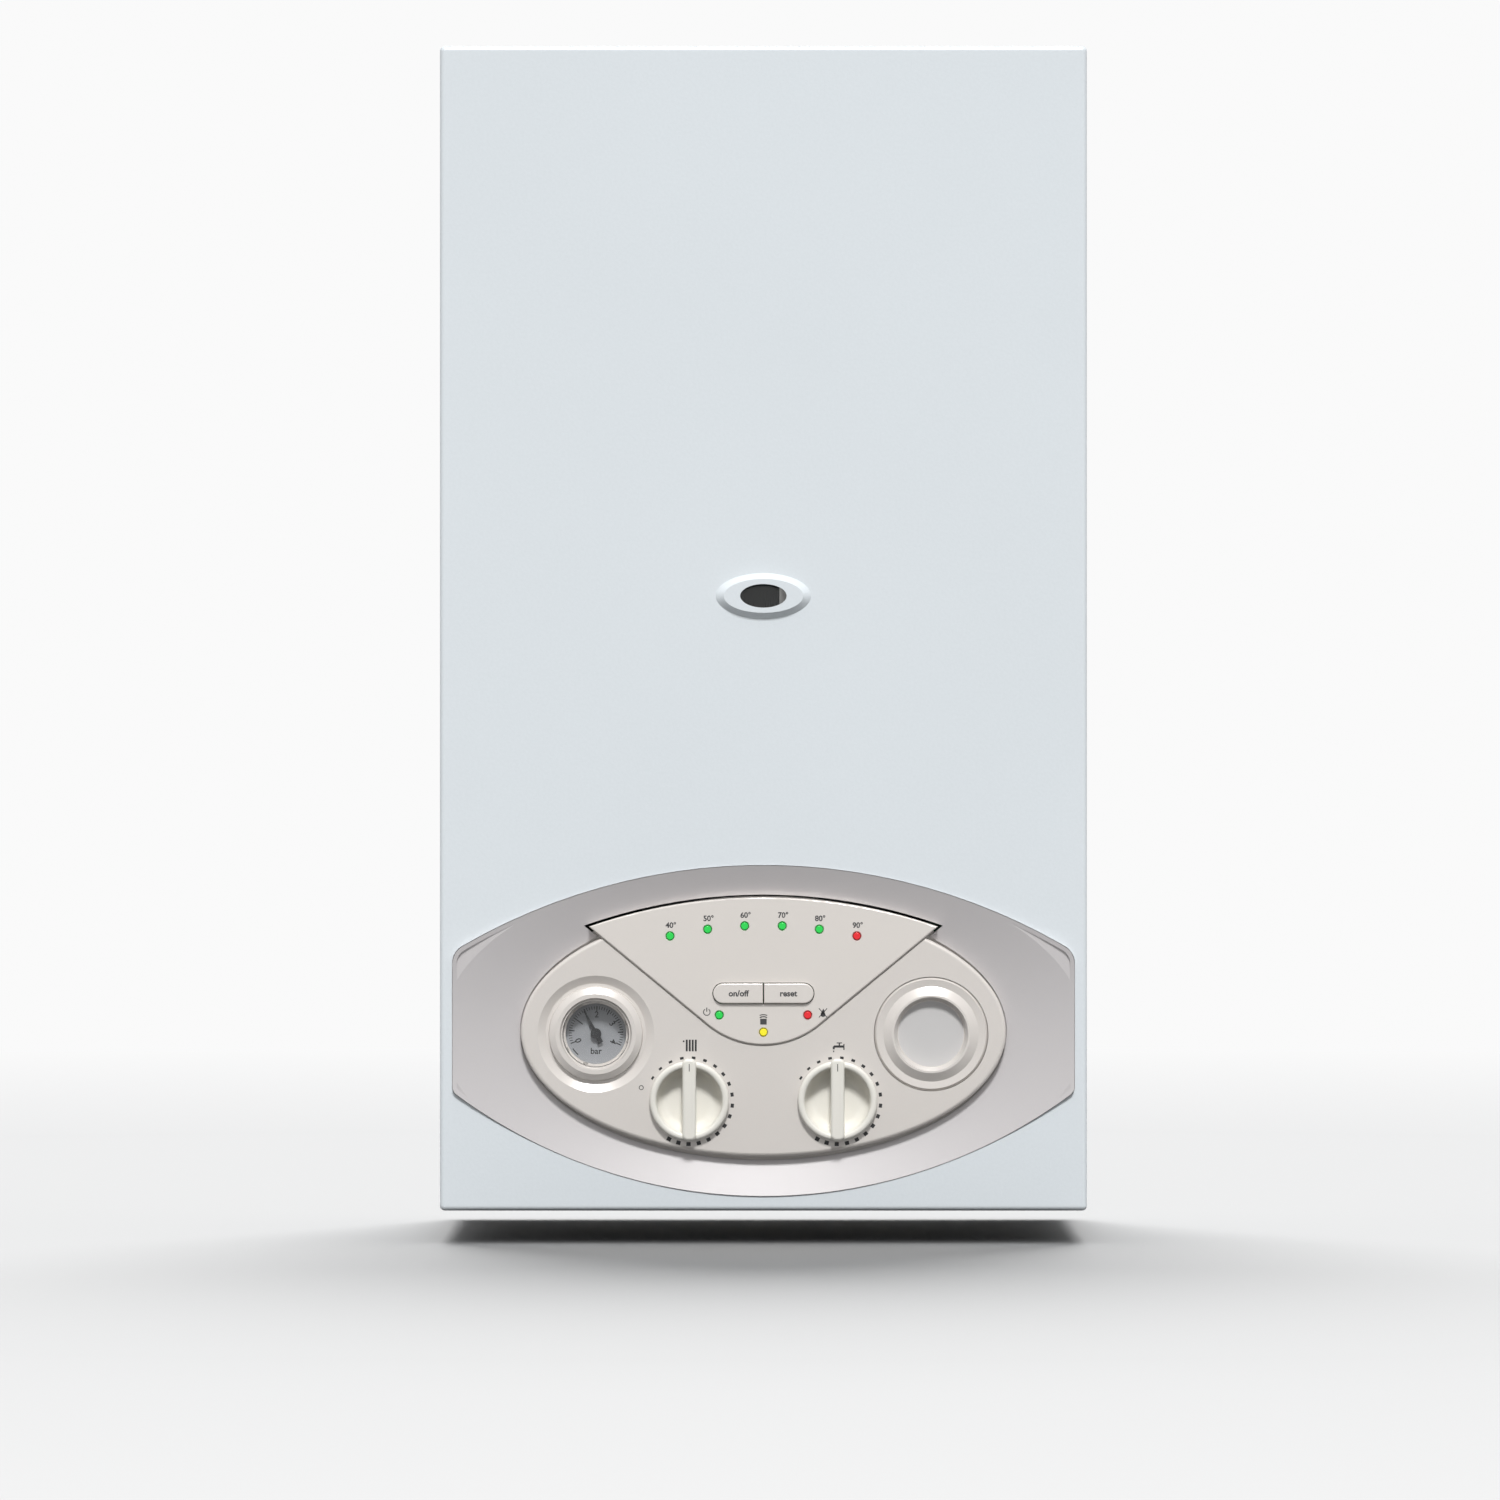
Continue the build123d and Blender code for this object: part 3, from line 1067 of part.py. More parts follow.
def pump_body():
    """Pump volute with its neck below and the outlet and vent ports above."""
    x, z = PUMP_X, PUMP_HEIGHT
    body = pin(x, z, PUMP_RADIUS, PUMP_BACK, PUMP_FRONT)
    half = PUMP_NECK / 2
    neck_depth = (STUB_DEPTH - half, STUB_DEPTH + half)
    body += block((x - half, x + half), neck_depth, (RETURN_BLOCK_TOP, z))
    body += post(PIPE_X, TUBE_FIRST, PUMP_PORT, z, PUMP_PORT_TOP)
    body += post(VENT_X, TUBE_FIRST, VENT_RADIUS, z, PUMP_PORT_TOP)
    cavity = PUMP_RADIUS - PUMP_WALL
    return body - pin(x, z, cavity, PUMP_BACK + PUMP_WALL, PUMP_FRONT)


def pump_motor():
    """Motor can on a flange, with a blind bore for the wheel's shaft."""
    x, z = PUMP_X, PUMP_HEIGHT
    flange_end = PUMP_FRONT + PUMP_FLANGE
    can = pin(x, z, PUMP_MOTOR_RADIUS, flange_end, flange_end + PUMP_MOTOR_LENGTH)
    can = fillet(can.edges().sort_by(Axis.Y)[0], PUMP_FLANGE)
    can += pin(x, z, PUMP_RADIUS, PUMP_FRONT, flange_end)
    return can - pin(x, z, PUMP_SHAFT + RUN, PUMP_FRONT, flange_end + PUMP_MOTOR_LENGTH / 2)


def pump_impeller():
    """Closed wheel with vanes on its face and a shaft into the motor."""
    x, z = PUMP_X, PUMP_HEIGHT
    near = PUMP_BACK + PUMP_WALL + 2 * SHEET
    far = near + PUMP_WHEEL_WIDTH
    wheel = pin(x, z, PUMP_WHEEL, near + PUMP_WHEEL_WIDTH / 2, far)
    vanes = []
    for i in range(PUMP_VANES):
        turn = Pos(x, z) * Rot(0, 0, i * 360 / PUMP_VANES)
        outline = turn * Pos(PUMP_WHEEL / 2, 0) * Rectangle(PUMP_WHEEL - PUMP_SHAFT, 2 * SHEET)
        vanes.append(plate(outline, near, far))
    wheel += vanes
    wheel += pin(x, z, 2 * PUMP_SHAFT, near, far)
    shaft_end = PUMP_FRONT + PUMP_FLANGE + PUMP_MOTOR_LENGTH / 2 - FIT
    return wheel + pin(x, z, PUMP_SHAFT, far, shaft_end)


def air_vent():
    top = PUMP_PORT_TOP + VENT_LENGTH
    vent = post(VENT_X, TUBE_FIRST, VENT_RADIUS, PUMP_PORT_TOP, top)
    vent = fillet(vent.edges().sort_by(Axis.Z)[-1], 2 * SHEET)
    return vent + post(VENT_X, TUBE_FIRST, VENT_RADIUS / 3, top, top + VENT_CAP)


def gas_valve():
    """Gas valve block with two solenoids on its front."""
    width, deep, height = GAS_VALVE
    near = BLOCK_BACK
    body = block((-width / 2, width / 2), (near, near + deep), (GROUP_FLOOR, GROUP_FLOOR + height))
    body = fillet(body.edges().filter_by(Axis.Z), 4 * SHEET)
    for side in (-1, 1):
        x = side * width / 4
        far = near + deep + SOLENOID_LENGTH
        body += pin(x, GROUP_FLOOR + height / 2, SOLENOID_RADIUS, near + deep, far)
    return body


def gas_pipe():
    top = MANIFOLD_HEIGHT - 2 * MANIFOLD_RADIUS
    route = [
        (0, GAS_PIPE_DEPTH, GROUP_FLOOR + GAS_VALVE[2]),
        (0, GAS_PIPE_DEPTH, GAS_PIPE_TURN),
        (0, MANIFOLD_DEPTH, GAS_PIPE_TURN),
        (0, MANIFOLD_DEPTH, top),
    ]
    return pipe(route, PIPE_BEND, GAS_PIPE_RADIUS, SHEET)


def water_pipes():
    """Flow and return pipes to the heat exchanger, and the expansion vessel's pipe."""
    reach = SHELL_HALF + SHEET
    low, high = PIPE_RISE
    flow = [
        (-PIPE_X, STUB_DEPTH, FLOW_BLOCK_TOP),
        (-PIPE_X, STUB_DEPTH, low),
        (-PIPE_X, TUBE_LAST, high),
        (-PIPE_X, TUBE_LAST, TUBE_HEIGHT),
        (-reach, TUBE_LAST, TUBE_HEIGHT),
    ]
    back = [
        (PIPE_X, TUBE_FIRST, PUMP_PORT_TOP),
        (PIPE_X, TUBE_FIRST, TUBE_HEIGHT),
        (reach, TUBE_FIRST, TUBE_HEIGHT),
    ]
    vessel_depth = FRAME_SHEET + VESSEL[2] / 2
    entry_x = 2 * STUB_PITCH
    entry_z = (GROUP_FLOOR + RETURN_BLOCK_TOP) / 2
    vessel = [
        (VESSEL_PIPE_X, vessel_depth, VESSEL_FLOOR - VESSEL_SEAM[0]),
        (VESSEL_PIPE_X, vessel_depth, VESSEL_PIPE_LOW),
        (entry_x, (vessel_depth + BLOCK_BACK) / 2, entry_z),
        (entry_x, BLOCK_BACK, entry_z),
    ]
    return group([
        pipe(flow, PIPE_BEND, PIPE_RADIUS, PIPE_WALL),
        pipe(back, PIPE_BEND, PIPE_RADIUS, PIPE_WALL),
        pipe(vessel, VESSEL_PIPE_BEND, VESSEL_PIPE_RADIUS, SHEET),
    ])


def fluted_disc(radius):
    """Round grip outline with finger flutes."""
    outline = Circle(radius)
    for i in range(FLUTES):
        outline -= Rot(0, 0, i * 360 / FLUTES) * Pos(radius + FLUTE_RADIUS / 2, 0) * Circle(FLUTE_RADIUS)
    return outline


def relief_valve():
    z = (ARM_FLOOR + ARM_TOP) / 2
    body = pin(RELIEF_X, z, RELIEF_RADIUS, LEG_FRONT, LEG_FRONT + RELIEF_LENGTH)
    bore_start = LEG_FRONT + RELIEF_LENGTH / 2
    return body - pin(RELIEF_X, z, TAP_STEM + RUN, bore_start, LEG_FRONT + RELIEF_LENGTH)


def relief_knob():
    radius, length = RELIEF_KNOB
    z = (ARM_FLOOR + ARM_TOP) / 2
    near = LEG_FRONT + RELIEF_LENGTH + KNOB_GAP
    grip = plate(Pos(RELIEF_X, z) * fluted_disc(radius), near, near + length)
    return grip + pin(RELIEF_X, z, TAP_STEM, LEG_FRONT + RELIEF_LENGTH / 2 + FIT, near)


def filling_tap():
    """Filling tap on the cold inlet, with a bore for the knob's stem from below."""
    half = LEG_WIDTH / 2
    near = STUB_DEPTH - half
    top = GROUP_FLOOR + TAP_RISE
    x = (STUB_PITCH - half, STUB_PITCH + half)
    body = block(x, (near, near + TAP_REACH), (GROUP_FLOOR, top))
    return body - post(STUB_PITCH, TAP_STEM_DEPTH, TAP_STEM + RUN, GROUP_FLOOR, top - SHEET)


def filling_knob():
    radius, length = TAP_KNOB
    high = TRAY_HEIGHT - KNOB_GAP
    place = Plane.XY.offset(high - length) * Pos(STUB_PITCH, -TAP_STEM_DEPTH)
    grip = extrude(place * fluted_disc(radius), length)
    stem_top = GROUP_FLOOR + TAP_RISE - SHEET - FIT
    return grip + post(STUB_PITCH, TAP_STEM_DEPTH, TAP_STEM, high, stem_top)


def cable_gland():
    """Gland in the tray: flange above, nut below, bore for the lead."""
    x, depth = GLAND_X, GLAND_DEPTH
    low = TRAY_HEIGHT - GLAND_DROP
    gland = post(x, depth, GLAND_RADIUS, low, TRAY_TOP)
    gland += post(x, depth, GLAND_FLANGE, TRAY_TOP, TRAY_TOP + KNOB_GAP)
    gland += nut(x, depth, GLAND_FLANGE, TRAY_HEIGHT - 2 * KNOB_GAP, TRAY_HEIGHT)
    return gland - post(x, depth, GLAND_BORE, low, TRAY_TOP + KNOB_GAP)


# ------------------------------------------------------------------ control panel
def dish(back):
    """Space in front of the fascia's hollow face, moved towards the wall by back."""
    mouth = Pos(0, DISH_HEIGHT) * Ellipse(*DISH_MOUTH)
    faces = [
        Plane.XZ.offset(DISH_FOOT_DEPTH - back) * dish_foot(),
        Plane.XZ.offset(DISH_MOUTH_DEPTH - back) * mouth,
    ]
    return loft(faces)


def fascia():
    """Eye-shaped surround: a skirt, a thin hollow face and the seat of the oval panel."""
    inner = fascia_outline(-FASCIA_WALL)
    rim = fascia_outline(0)
    skirt = plate(rim, FASCIA_BACK, DISH_MOUTH_DEPTH) - plate(inner, FASCIA_BACK, DISH_MOUTH_DEPTH)
    face = plate(rim, FASCIA_BACK, DISH_MOUTH_DEPTH) & dish(FASCIA_WALL)
    seat = plate(oval(OVAL_SEAT), OVAL_SEAT_DEPTH, DISH_FOOT_DEPTH)
    front = DEPTH - FASCIA_FLANGE_SINK
    flange = fascia_outline(FASCIA_FLANGE) - inner
    body = skirt + face + seat + plate(flange, front - FASCIA_FLANGE_THICK, front)
    body -= dish(0)
    body -= plate(dish_foot(), FASCIA_BACK, DISH_MOUTH_DEPTH)
    return body - plate(shield_outline(SHIELD_NOTCH), OVAL_SEAT_DEPTH, DISH_MOUTH_DEPTH)


def light_places():
    """Green, yellow and red lamps: a curved scale of six and three status lamps."""
    scale = []
    for x in SCALE_LIGHTS:
        scale.append((x, SCALE_TOP - SCALE_ARC + math.sqrt(SCALE_ARC**2 - x**2)))
    green = scale[:-1] + [(-STATUS_X, STATUS_HEIGHT)]
    yellow = [(0.0, STATUS_LOW)]
    red = scale[-1:] + [(STATUS_X, STATUS_HEIGHT)]
    return green, yellow, red


def lenses(places):
    solids = []
    for x, z in places:
        lens = pin(x, z, LIGHT_RADIUS, LIGHT_BACK, SHIELD_FACE + LIGHT_PROUD)
        solids.append(fillet(lens.edges().sort_by(Axis.Y)[0], LIGHT_PROUD))
    return group(solids)


def front_openings(near, far):
    """Holes for the lamps and the buttons, as solids to cut away."""
    green, yellow, red = light_places()
    cuts = [pin(x, z, LIGHT_RADIUS + LIGHT_GAP, near, far) for x, z in green + yellow + red]
    return cuts + [plate(button_outline(BUTTON_GAP), near, far)]


def gauge_surround():
    """Raised ring round the gauge window and the groove outside it."""
    face, floor = OVAL_FACE, OVAL_FACE - GAUGE_GROOVE_SINK
    crest = OVAL_FACE + GAUGE_CREST_RISE
    step = (GAUGE_GROOVE - GAUGE_GROOVE_FOOT) / 3
    groove = [
        (GAUGE_GROOVE, face + RUN),
        (GAUGE_GROOVE_FOOT + step, floor),
        (GAUGE_GROOVE_FOOT + step / 4, floor),
        (GAUGE_GROOVE_FOOT, face + RUN),
    ]
    ring = [
        (GAUGE_WINDOW, SHIELD_SEAT),
        (GAUGE_WINDOW, face - SHEET),
        (GAUGE_CREST - step / 2, crest),
        (GAUGE_CREST + step / 2, crest),
        (GAUGE_GROOVE_FOOT, face),
        (GAUGE_GROOVE_FOOT, SHIELD_SEAT),
    ]
    place = (-INSTRUMENT_X, INSTRUMENT_HEIGHT)
    return turned(groove, *place), turned(ring, *place)


def oval_panel():
    """Oval shell that carries the shield, the gauge, the cap and the knobs."""
    near = OVAL_SEAT_DEPTH
    cavity = oval(-OVAL_WALL)
    panel = plate(oval(0), near, OVAL_FACE)
    panel = fillet(panel.faces().sort_by(Axis.Y)[0].edges(), OVAL_EDGE)
    panel += plate(oval(OVAL_SEAT), near - SEAT_THICK, near)
    panel -= plate(cavity, near - SEAT_THICK, SHIELD_SEAT)
    backing = GAUGE_BACKING_THICK
    panel += plate(shield_outline(SHIELD_MARGIN) & cavity, SHIELD_BACK, SHIELD_SEAT)
    for x in (-INSTRUMENT_X, INSTRUMENT_X):
        panel += pin(x, INSTRUMENT_HEIGHT, GAUGE_BACKING, SHIELD_SEAT - backing, SHIELD_SEAT)
    groove, ring = gauge_surround()
    panel -= groove
    panel += ring
    panel -= plate(shield_outline(SHIELD_SEAM), SHIELD_SEAT, OVAL_FACE + SHIELD_PROUD)
    for cut in front_openings(SHIELD_BACK, OVAL_FACE):
        panel -= cut
    front = OVAL_FACE + GAUGE_CREST_RISE
    window_near = SHIELD_SEAT - backing
    panel -= pin(-INSTRUMENT_X, INSTRUMENT_HEIGHT, GAUGE_WINDOW, window_near, front)
    panel -= pin(INSTRUMENT_X, INSTRUMENT_HEIGHT, CAP_RADIUS + CAP_GAP, CAP_FLOOR, front)
    for x in (-KNOB_X, KNOB_X):
        panel -= pin(x, KNOB_HEIGHT, KNOB_CUP + KNOB_CUP_GAP, SHIELD_BACK, OVAL_FACE)
    return panel


def display_shield():
    """Display shield set into the panel, hooked over its upper edge."""
    shield = plate(shield_outline(0), OVAL_SEAT_DEPTH + SHEET, SHIELD_FACE)
    front = shield.faces().sort_by(Axis.Y)[0]
    shield = fillet(front.edges(), SHIELD_EDGE)
    shield -= plate(oval(FIT), OVAL_SEAT_DEPTH, SHIELD_SEAT)
    for cut in front_openings(SHIELD_SEAT, SHIELD_FACE):
        shield -= cut
    green, yellow, red = light_places()
    wide = LIGHT_RADIUS + LIGHT_SINK
    sink = [(0, SHIELD_FACE), (wide, SHIELD_FACE), (0, SHIELD_FACE - wide)]
    for x, z in green + yellow + red:
        shield -= turned(sink, x, z)
    return shield


def button(side):
    """Half of the pill-shaped button pair, with its stem back to the switch."""
    length, height = BUTTON_PILL
    left = min(side * length, side * BUTTON_SPLIT / 2)
    half = Pos(left + (length - BUTTON_SPLIT / 2) / 2, BUTTON_HEIGHT)
    outline = button_outline(0) & (half * Rectangle(length - BUTTON_SPLIT / 2, 2 * height))
    far = SHIELD_FACE + BUTTON_PROUD
    body = plate(outline, SHIELD_BACK, far)
    body = fillet(body.faces().sort_by(Axis.Y)[0].edges(), BUTTON_EDGE)
    stem_near = SWITCH_FACE + BUTTON_STROKE + FIT
    return body + pin(side * BUTTON_X, BUTTON_HEIGHT, BUTTON_STEM, stem_near, SHIELD_BACK)


def gauge_case():
    """Pressure gauge case with its dial face at the bottom of a shallow recess."""
    x, z = -INSTRUMENT_X, INSTRUMENT_HEIGHT
    case = pin(x, z, GAUGE_RADIUS, GAUGE_CASE_BACK, GAUGE_RIM_DEPTH)
    case -= pin(x, z, GAUGE_RADIUS - GAUGE_RIM, DIAL_FACE, GAUGE_RIM_DEPTH)
    return case - pin(x, z, NEEDLE_SHAFT + RUN, DIAL_FACE - NEEDLE_TAIL, DIAL_FACE)


def gauge_lens():
    return pin(-INSTRUMENT_X, INSTRUMENT_HEIGHT, GAUGE_RADIUS, GAUGE_RIM_DEPTH, GAUGE_LENS_DEPTH)


def gauge_needle():
    """Pointer with hub, tail and shaft, at its rest reading."""
    x, z = -INSTRUMENT_X, INSTRUMENT_HEIGHT
    near = DIAL_FACE + NEEDLE_LIFT
    blade = Polyline(
        (-NEEDLE_WIDTH, -NEEDLE_TAIL),
        (NEEDLE_WIDTH, -NEEDLE_TAIL),
        (NEEDLE_WIDTH / 4, NEEDLE_LENGTH),
        (-NEEDLE_WIDTH / 4, NEEDLE_LENGTH),
        close=True,
    )
    outline = Pos(x, z) * Rot(0, 0, -NEEDLE_REST) * make_face(blade)
    needle = plate(outline, near, near + NEEDLE_THICK)
    needle += pin(x, z, NEEDLE_HUB, DIAL_FACE + 2 * FIT, near + 2 * NEEDLE_THICK)
    return needle + pin(x, z, NEEDLE_SHAFT, DIAL_FACE - NEEDLE_TAIL + FIT, near)


def clock_cap():
    """Blank cap in the right-hand instrument place, with a raised ring."""
    edge = CAP_GAP * 3
    profile = [
        (0, CAP_FLOOR),
        (CAP_RADIUS, CAP_FLOOR),
        (CAP_RADIUS, CAP_FACE - edge),
        (CAP_RADIUS - edge, CAP_FACE),
        (CAP_FOOT, CAP_FACE - edge / 2),
        (CAP_CREST + edge / 2, CAP_CREST_DEPTH),
        (CAP_CREST - edge / 2, CAP_CREST_DEPTH),
        (CAP_INNER, CAP_DISC),
        (0, CAP_DISC),
    ]
    return turned(profile, INSTRUMENT_X, INSTRUMENT_HEIGHT)


def knob(side):
    """Round knob: rim on the panel, bowl sunk through it, grip bar across and shaft."""
    x, z = side * KNOB_X, KNOB_HEIGHT
    cup_back = KNOB_DISH_FLOOR - KNOB_WALL
    bowl = pin(x, z, KNOB_DISH, KNOB_DISH_FLOOR, KNOB_RIM)
    bowl = fillet(bowl.edges().sort_by(Axis.Y)[-1], KNOB_BOWL)
    body = pin(x, z, KNOB_RADIUS, KNOB_BACK, KNOB_RIM) + pin(x, z, KNOB_CUP, cup_back, KNOB_BACK)
    body -= bowl
    body = fillet(body.faces().sort_by(Axis.Y)[0].edges(), KNOB_EDGE)
    outline = RectangleRounded(KNOB_BAR, 2 * KNOB_RADIUS + KNOB_POINTER, KNOB_BAR_END)
    bar = plate(Pos(x, z + KNOB_POINTER / 2) * outline, KNOB_BACK, KNOB_GRIP)
    body += fillet(bar.faces().sort_by(Axis.Y)[0].edges(), KNOB_EDGE)
    web = Rectangle(KNOB_BAR, 2 * KNOB_CUP) & Circle(KNOB_CUP)
    body += plate(Pos(x, z) * web, cup_back, KNOB_BACK)
    return body + pin(x, z, KNOB_SHAFT, BOARD_FACE + SHEET + FIT, cup_back)


def circuit_board():
    """Board with the lamp chips, two button switches, two potentiometers and a chip."""
    left, right, low, high = CIRCUIT
    solids = [block((left, right), (BOARD_BACK, BOARD_FACE), (low, high))]
    green, yellow, red = light_places()
    for x, z in green + yellow + red:
        solids.append(pin(x, z, LIGHT_RADIUS, BOARD_FACE, LIGHT_BACK))
    for x in (-BUTTON_X, BUTTON_X):
        outline = Pos(x, BUTTON_HEIGHT) * Rectangle(SWITCH_BODY[0], SWITCH_BODY[0])
        solids.append(plate(outline, BOARD_FACE, SWITCH_FACE))
    for x in (-KNOB_X, KNOB_X):
        pot = plate(Pos(x, KNOB_HEIGHT) * Rectangle(POT_SIZE, POT_SIZE), BOARD_FACE, POT_FACE)
        pot += pin(x, KNOB_HEIGHT, POT_BUSH, POT_FACE, POT_FACE + POT_THICK)
        bore = pin(x, KNOB_HEIGHT, KNOB_SHAFT + RUN, BOARD_FACE + SHEET, POT_FACE + POT_THICK)
        solids.append(pot - bore)
    wide, tall, thick = CHIP
    solids.append(plate(Pos(0, CHIP_HEIGHT) * Rectangle(wide, tall), BOARD_FACE, BOARD_FACE + thick))
    return group(solids)


def control_housing():
    """Rear housing: open mouth in front, hinge ears low down and posts for the board."""
    half, wall = HOUSING_HALF, HOUSING_WALL
    back, front = HOUSING_BACK, FASCIA_BACK
    housing = block((-half, half), (back, front), (HOUSING_FLOOR, HOUSING_TOP))
    housing = fillet(housing.edges().filter_by(Axis.Y), 2 * wall)
    inner_z = (HOUSING_FLOOR + wall, HOUSING_TOP - wall)
    housing -= block((-half + wall, half - wall), (back + wall, front - wall), inner_z)
    mouth = Pos(0, DISH_HEIGHT) * RectangleRounded(*HOUSING_MOUTH, 2 * wall)
    housing -= plate(mouth, front - wall, front)
    left, right, low, high = CIRCUIT
    for x in (left + POST_EDGE, right - POST_EDGE):
        for z in (low + POST_EDGE, high - POST_EDGE):
            housing += pin(x, z, POST_RADIUS, back + wall, BOARD_BACK)
    ear = rail(HINGE_DEPTH, HINGE_HEIGHT, HINGE_EAR, half - HINGE_EAR, half)
    housing += [ear, mirrored(ear)]
    bore = rail(HINGE_DEPTH, HINGE_HEIGHT, HINGE_PIN + RUN, half - HINGE_EAR, half)
    return housing - [bore, mirrored(bore)]


# ------------------------------------------------------------------ the whole boiler
def pieces():
    green, yellow, red = light_places()
    right_panel = right_side_panel()
    return {
        "back_frame": back_frame(),
        "left_side_panel": mirrored(right_panel),
        "right_side_panel": right_panel,
        "top_panel": top_panel(),
        "bottom_tray": bottom_tray(),
        "sheet_screws": sheet_screws(),
        "hinge_pins": hinge_pins(),
        "chamber_box": chamber_box(),
        "chamber_seal": chamber_seal(),
        "chamber_cover": chamber_cover(),
        "sight_glass": sight_glass(),
        "sight_frame": sight_frame(),
        "combustion_shell": combustion_shell(),
        "insulation_boards": insulation_boards(),
        "exchanger_tubes": exchanger_tubes(),
        "exchanger_fins": exchanger_fins(),
        "burner_bars": burner_bars(),
        "gas_manifold": gas_manifold(),
        "electrodes": electrodes(),
        "flue_hood": flue_hood(),
        "fan_housing": fan_housing(),
        "fan_impeller": fan_impeller(),
        "fan_motor": fan_motor(),
        "flue_spigot": flue_spigot(),
        "air_pressure_switch": air_pressure_switch(),
        "expansion_vessel": expansion_vessel(),
        "plate_exchanger": plate_exchanger(),
        "pipe_stubs": pipe_stubs(),
        "flow_group": flow_group(),
        "diverter_motor": diverter_motor(),
        "return_group": return_group(),
        "pump_body": pump_body(),
        "pump_motor": pump_motor(),
        "pump_impeller": pump_impeller(),
        "air_vent": air_vent(),
        "gas_valve": gas_valve(),
        "gas_pipe": gas_pipe(),
        "water_pipes": water_pipes(),
        "relief_valve": relief_valve(),
        "relief_knob": relief_knob(),
        "filling_tap": filling_tap(),
        "filling_knob": filling_knob(),
        "cable_gland": cable_gland(),
        "front_cover": front_cover(),
        "fascia": fascia(),
        "oval_panel": oval_panel(),
        "display_shield": display_shield(),
        "green_lenses": lenses(green),
        "yellow_lens": lenses(yellow),
        "red_lenses": lenses(red),
        "power_button": button(-1),
        "reset_button": button(1),
        "gauge_case": gauge_case(),
        "gauge_lens": gauge_lens(),
        "gauge_needle": gauge_needle(),
        "clock_cap": clock_cap(),
        "heating_knob": knob(-1),
        "hot_water_knob": knob(1),
        "circuit_board": circuit_board(),
        "control_housing": control_housing(),
    }


os.makedirs("parts", exist_ok=True)
for name, solid in pieces().items():
    export_step(solid, f"parts/{name}.step")
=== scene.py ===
import math

import bmesh
import bpy
from mathutils import Matrix, Vector


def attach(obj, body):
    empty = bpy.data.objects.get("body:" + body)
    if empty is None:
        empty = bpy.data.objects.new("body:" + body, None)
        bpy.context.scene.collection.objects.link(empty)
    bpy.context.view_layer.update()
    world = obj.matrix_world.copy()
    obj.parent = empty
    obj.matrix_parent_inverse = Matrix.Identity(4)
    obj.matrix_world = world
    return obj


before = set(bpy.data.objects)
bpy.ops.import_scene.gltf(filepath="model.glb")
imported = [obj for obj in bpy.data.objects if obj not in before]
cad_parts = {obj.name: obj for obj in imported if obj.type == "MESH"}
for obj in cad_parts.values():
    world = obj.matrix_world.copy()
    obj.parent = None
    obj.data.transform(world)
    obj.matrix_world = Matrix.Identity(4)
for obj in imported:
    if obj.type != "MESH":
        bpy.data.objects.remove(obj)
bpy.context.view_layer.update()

MM = 0.001

# ------------------------------------------------------------------ node helpers


class Tree:
    """A node tree with short calls for adding nodes and joining sockets."""

    def __init__(self, tree):
        self.tree = tree

    def add(self, kind, inputs=None, **settings):
        node = self.tree.nodes.new(kind)
        for name, value in settings.items():
            setattr(node, name, value)
        for name, value in (inputs or {}).items():
            if isinstance(value, bpy.types.NodeSocket):
                self.tree.links.new(value, node.inputs[name])
            else:
                node.inputs[name].default_value = value
        return node

    def math(self, operation, a, b=0.0):
        return self.add("ShaderNodeMath", {0: a, 1: b}, operation=operation).outputs[0]

    def ramp(self, value, low, high, out_low=0.0, out_high=1.0):
        node = self.add(
            "ShaderNodeMapRange",
            {"Value": value, "From Min": low, "From Max": high, "To Min": out_low, "To Max": out_high},
        )
        return node.outputs["Result"]

    def mix(self, factor, a, b):
        node = self.add("ShaderNodeMix", data_type="RGBA")
        for index, value in ((0, factor), (6, a), (7, b)):
            if isinstance(value, bpy.types.NodeSocket):
                self.tree.links.new(value, node.inputs[index])
            else:
                node.inputs[index].default_value = value
        return node.outputs[2]


def shader_group(name, inputs, outputs):
    """An empty shader group with its named sockets; returns its Tree, input and output nodes."""
    group = bpy.data.node_groups.new(name, "ShaderNodeTree")
    for label, kind, value in inputs:
        socket = group.interface.new_socket(label, in_out="INPUT", socket_type=kind)
        socket.default_value = value
    for label, kind in outputs:
        group.interface.new_socket(label, in_out="OUTPUT", socket_type=kind)
    tree = Tree(group)
    return tree, tree.add("NodeGroupInput"), tree.add("NodeGroupOutput")


FLOAT, COLOUR = "NodeSocketFloat", "NodeSocketColor"
FINISH_OUT = [("Colour", COLOUR), ("Roughness", FLOAT), ("Height", FLOAT)]


def close_finish(tree, out, colour, roughness, height):
    """Join the three results of a finish group to its outputs."""
    for label, value in (("Colour", colour), ("Roughness", roughness), ("Height", height)):
        tree.tree.links.new(value, out.inputs[label])
    return tree.tree


